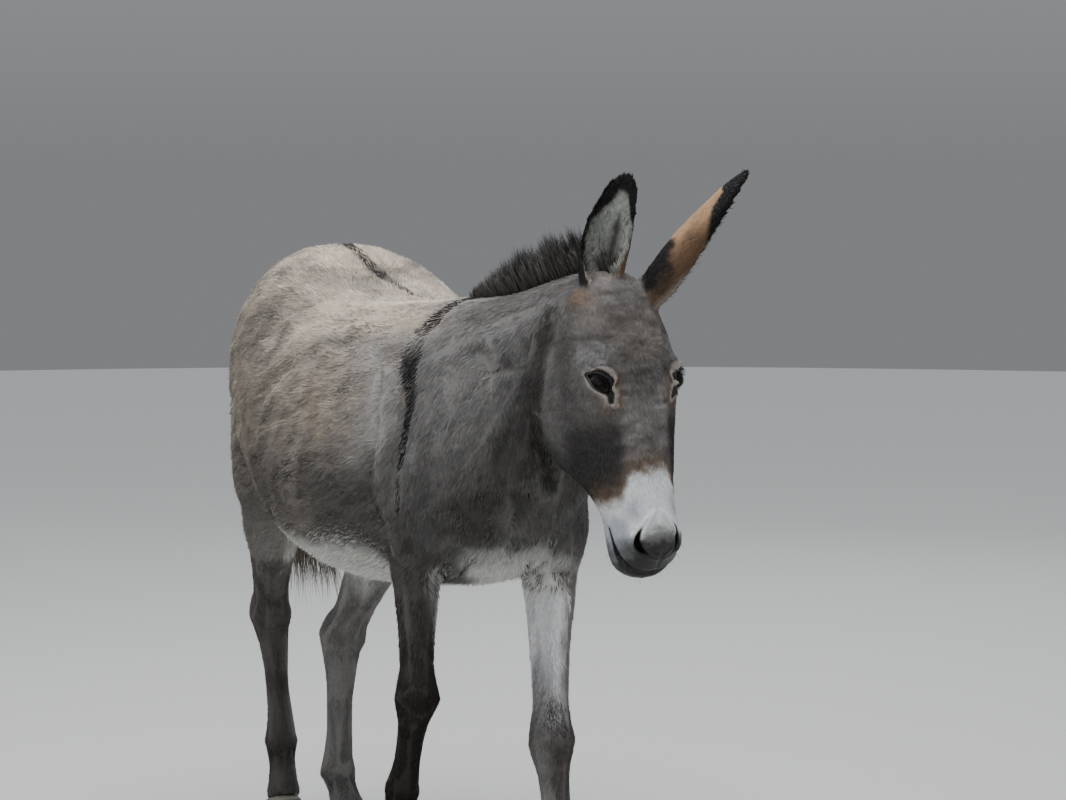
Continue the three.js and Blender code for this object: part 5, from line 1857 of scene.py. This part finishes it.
def skin_material():
    """Short hair lying on hide: fine streaks, with smooth moist skin where it is bare."""
    made, node, join = material("short_coat", 0.75)
    hair = grain_of(node, (0.45, 1.0, 0.35), 420.0)
    pores = grain_of(node, (1, 1, 1), 900.0, 2.0)
    bare = node("ShaderNodeAttribute", attribute_name="bare")
    join(varied(node, hair, 0.70, 1.30), "Base Color")
    join(ranged(node, bare.outputs["Fac"], 0.82, 0.42), "Roughness")
    bump = node("ShaderNodeBump", {"Height": hair}, Strength=0.55, Distance=0.0012)
    links = {"Height": pores, "Normal": bump.outputs["Normal"]}
    join(node("ShaderNodeBump", links, Strength=0.3, Distance=0.0005).outputs["Normal"], "Normal")
    return made


def grained_material(name, roughness, specular, low, high, scale, strength=0.25, depth=0.0004):
    made, node, join = material(name, roughness, specular)
    grain = grain_of(node, (1, 1, 1), scale)
    join(varied(node, grain, low, high), "Base Color")
    bump = node("ShaderNodeBump", {"Height": grain}, Strength=strength, Distance=depth)
    join(bump.outputs["Normal"], "Normal")
    return made


def eye_material():
    made = grained_material("moist_eye", 0.30, 0.09, 0.85, 1.15, 500.0, 0.03, 0.0002)
    shader = made.node_tree.nodes["Principled BSDF"]
    shader.inputs["Coat Weight"].default_value = 0.06
    shader.inputs["Coat Roughness"].default_value = 0.06
    return made


def horn_material():
    """Upright fibres, with dusty and worn places."""
    made, node, join = material("hoof_horn", 0.5, 0.4)
    fibre = grain_of(node, (1, 1, 0.08), 700.0)
    dust = grain_of(node, (1, 1, 1), 60.0)
    join(varied(node, fibre, 0.7, 1.3), "Base Color")
    join(ranged(node, dust, 0.42, 0.72), "Roughness")
    bump = node("ShaderNodeBump", {"Height": fibre}, Strength=0.5, Distance=0.0005)
    join(bump.outputs["Normal"], "Normal")
    return made


def dress(piece, finish, slot, *nodes):
    """Gives a piece its material and its body, and hides the nodes that it stands for. The slot is not used.
    """
    piece.data.materials.clear()
    piece.data.materials.append(finish)
    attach(piece, "root")
    if nodes:
        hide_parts(*nodes)


# ---- the donkey ----
HIDE = shape_skin()
dress(skin_piece(HIDE), skin_material(), "body_coat", *FLESH)
tuft_finish = grained_material("coat_tufts", 0.85, 0.12, 0.88, 1.12, 260.0)
strand_finish = grained_material("long_hair", 0.62, 0.22, 0.80, 1.20, 300.0)
coat_slots = {"coat_ears": "ear_coat", "coat_forelegs": "leg_coat", "coat_hindlegs": "leg_coat"}
for piece in make_coat(HIDE):
    dress(piece, tuft_finish, coat_slots.get(piece.name, "body_coat"))
dress(make_mane(HIDE), strand_finish, "mane_hair", "mane")
dress(make_tail(HIDE), strand_finish, "mane_hair", "tail_switch")
dress(make_fringes(HIDE), strand_finish, "ear_coat")
dress(make_lashes(), strand_finish, "mane_hair")
dress(make_whiskers(HIDE), strand_finish, "muzzle_coat")
eye_finish, horn_finish = eye_material(), horn_material()
for name, side in (("left", 1), ("right", -1)):
    dress(make_eye(f"eyeball_{name}", side), eye_finish, "eye", f"eye_{name}")
for leg in LEGS:
    dress(make_hoof(leg), horn_finish, "hoof", f"{leg}_hoof")

# ---- floor, light and camera ----
FLOOR_RADIUS = 14
FLOOR_SIDES = 96
SKY_LOW = 0.24
SKY_HIGH = 1.16
LIGHTS = dict(  # place, the point it is turned to, diameter and power
    overhead=((-0.2, -0.3, 4.4), (0, 0, 0.9), 4.5, 240),
    front=((4.5, -2.2, 2.6), (0.2, 0, 0.9), 3.0, 36),
    back=((-3.5, 3.0, 2.8), (0, 0, 0.9), 2.5, 28),
)
CAMERA_AT = (5.101, -1.867, 1.394)
CAMERA_HEADING = math.radians(22)  # from straight towards the tail, turned to the animal's left side
CAMERA_PITCH = math.radians(4.77)
LENS = 97.94


def make_floor():
    points = [(0, 0, 0)]
    faces = []
    for k in range(FLOOR_SIDES):
        turn = 2 * math.pi * k / FLOOR_SIDES
        points.append((FLOOR_RADIUS * math.cos(turn), FLOOR_RADIUS * math.sin(turn), 0))
        faces.append((0, 1 + k, 1 + (k + 1) % FLOOR_SIDES))
    floor = new_object("floor", np.array(points), np.array(faces))
    made = bpy.data.materials.new("floor")
    made.use_nodes = True
    shader = made.node_tree.nodes["Principled BSDF"]
    shader.inputs["Base Color"].default_value = (0.46, 0.46, 0.45, 1)
    shader.inputs["Roughness"].default_value = 0.9
    floor.data.materials.append(made)


def add_light(name, place, target, size, power):
    light = bpy.data.lights.new(name, "AREA")
    light.shape = "DISK"
    light.size = size
    light.energy = power
    lamp = bpy.data.objects.new(name, light)
    lamp.location = place
    lamp.rotation_euler = (Vector(target) - Vector(place)).to_track_quat("-Z", "Y").to_euler()
    bpy.context.collection.objects.link(lamp)


def make_sky():
    """A pale sky, bright overhead and dim towards the horizon."""
    world = bpy.data.worlds.new("studio")
    world.use_nodes = True
    tree = world.node_tree
    sky = tree.nodes["Background"]
    sky.inputs["Color"].default_value = (0.88, 0.91, 0.95, 1)
    place = tree.nodes.new("ShaderNodeTexCoord")
    height = tree.nodes.new("ShaderNodeSeparateXYZ")
    share = tree.nodes.new("ShaderNodeMapRange")
    share.inputs["From Max"].default_value = 0.9
    share.inputs["To Min"].default_value = SKY_LOW
    share.inputs["To Max"].default_value = SKY_HIGH
    tree.links.new(place.outputs["Generated"], height.inputs["Vector"])
    tree.links.new(height.outputs["Z"], share.inputs["Value"])
    tree.links.new(share.outputs["Result"], sky.inputs["Strength"])
    bpy.context.scene.world = world


make_floor()
make_sky()
for name, values in LIGHTS.items():
    add_light(name, *values)

lens = bpy.data.cameras.new("camera")
lens.lens = LENS
lens.clip_end = 60
camera = bpy.data.objects.new("camera", lens)
camera.location = CAMERA_AT
gaze = Vector((-math.cos(CAMERA_HEADING), math.sin(CAMERA_HEADING), -math.tan(CAMERA_PITCH)))
camera.rotation_euler = gaze.to_track_quat("-Z", "Y").to_euler()
bpy.context.collection.objects.link(camera)
bpy.context.scene.camera = camera
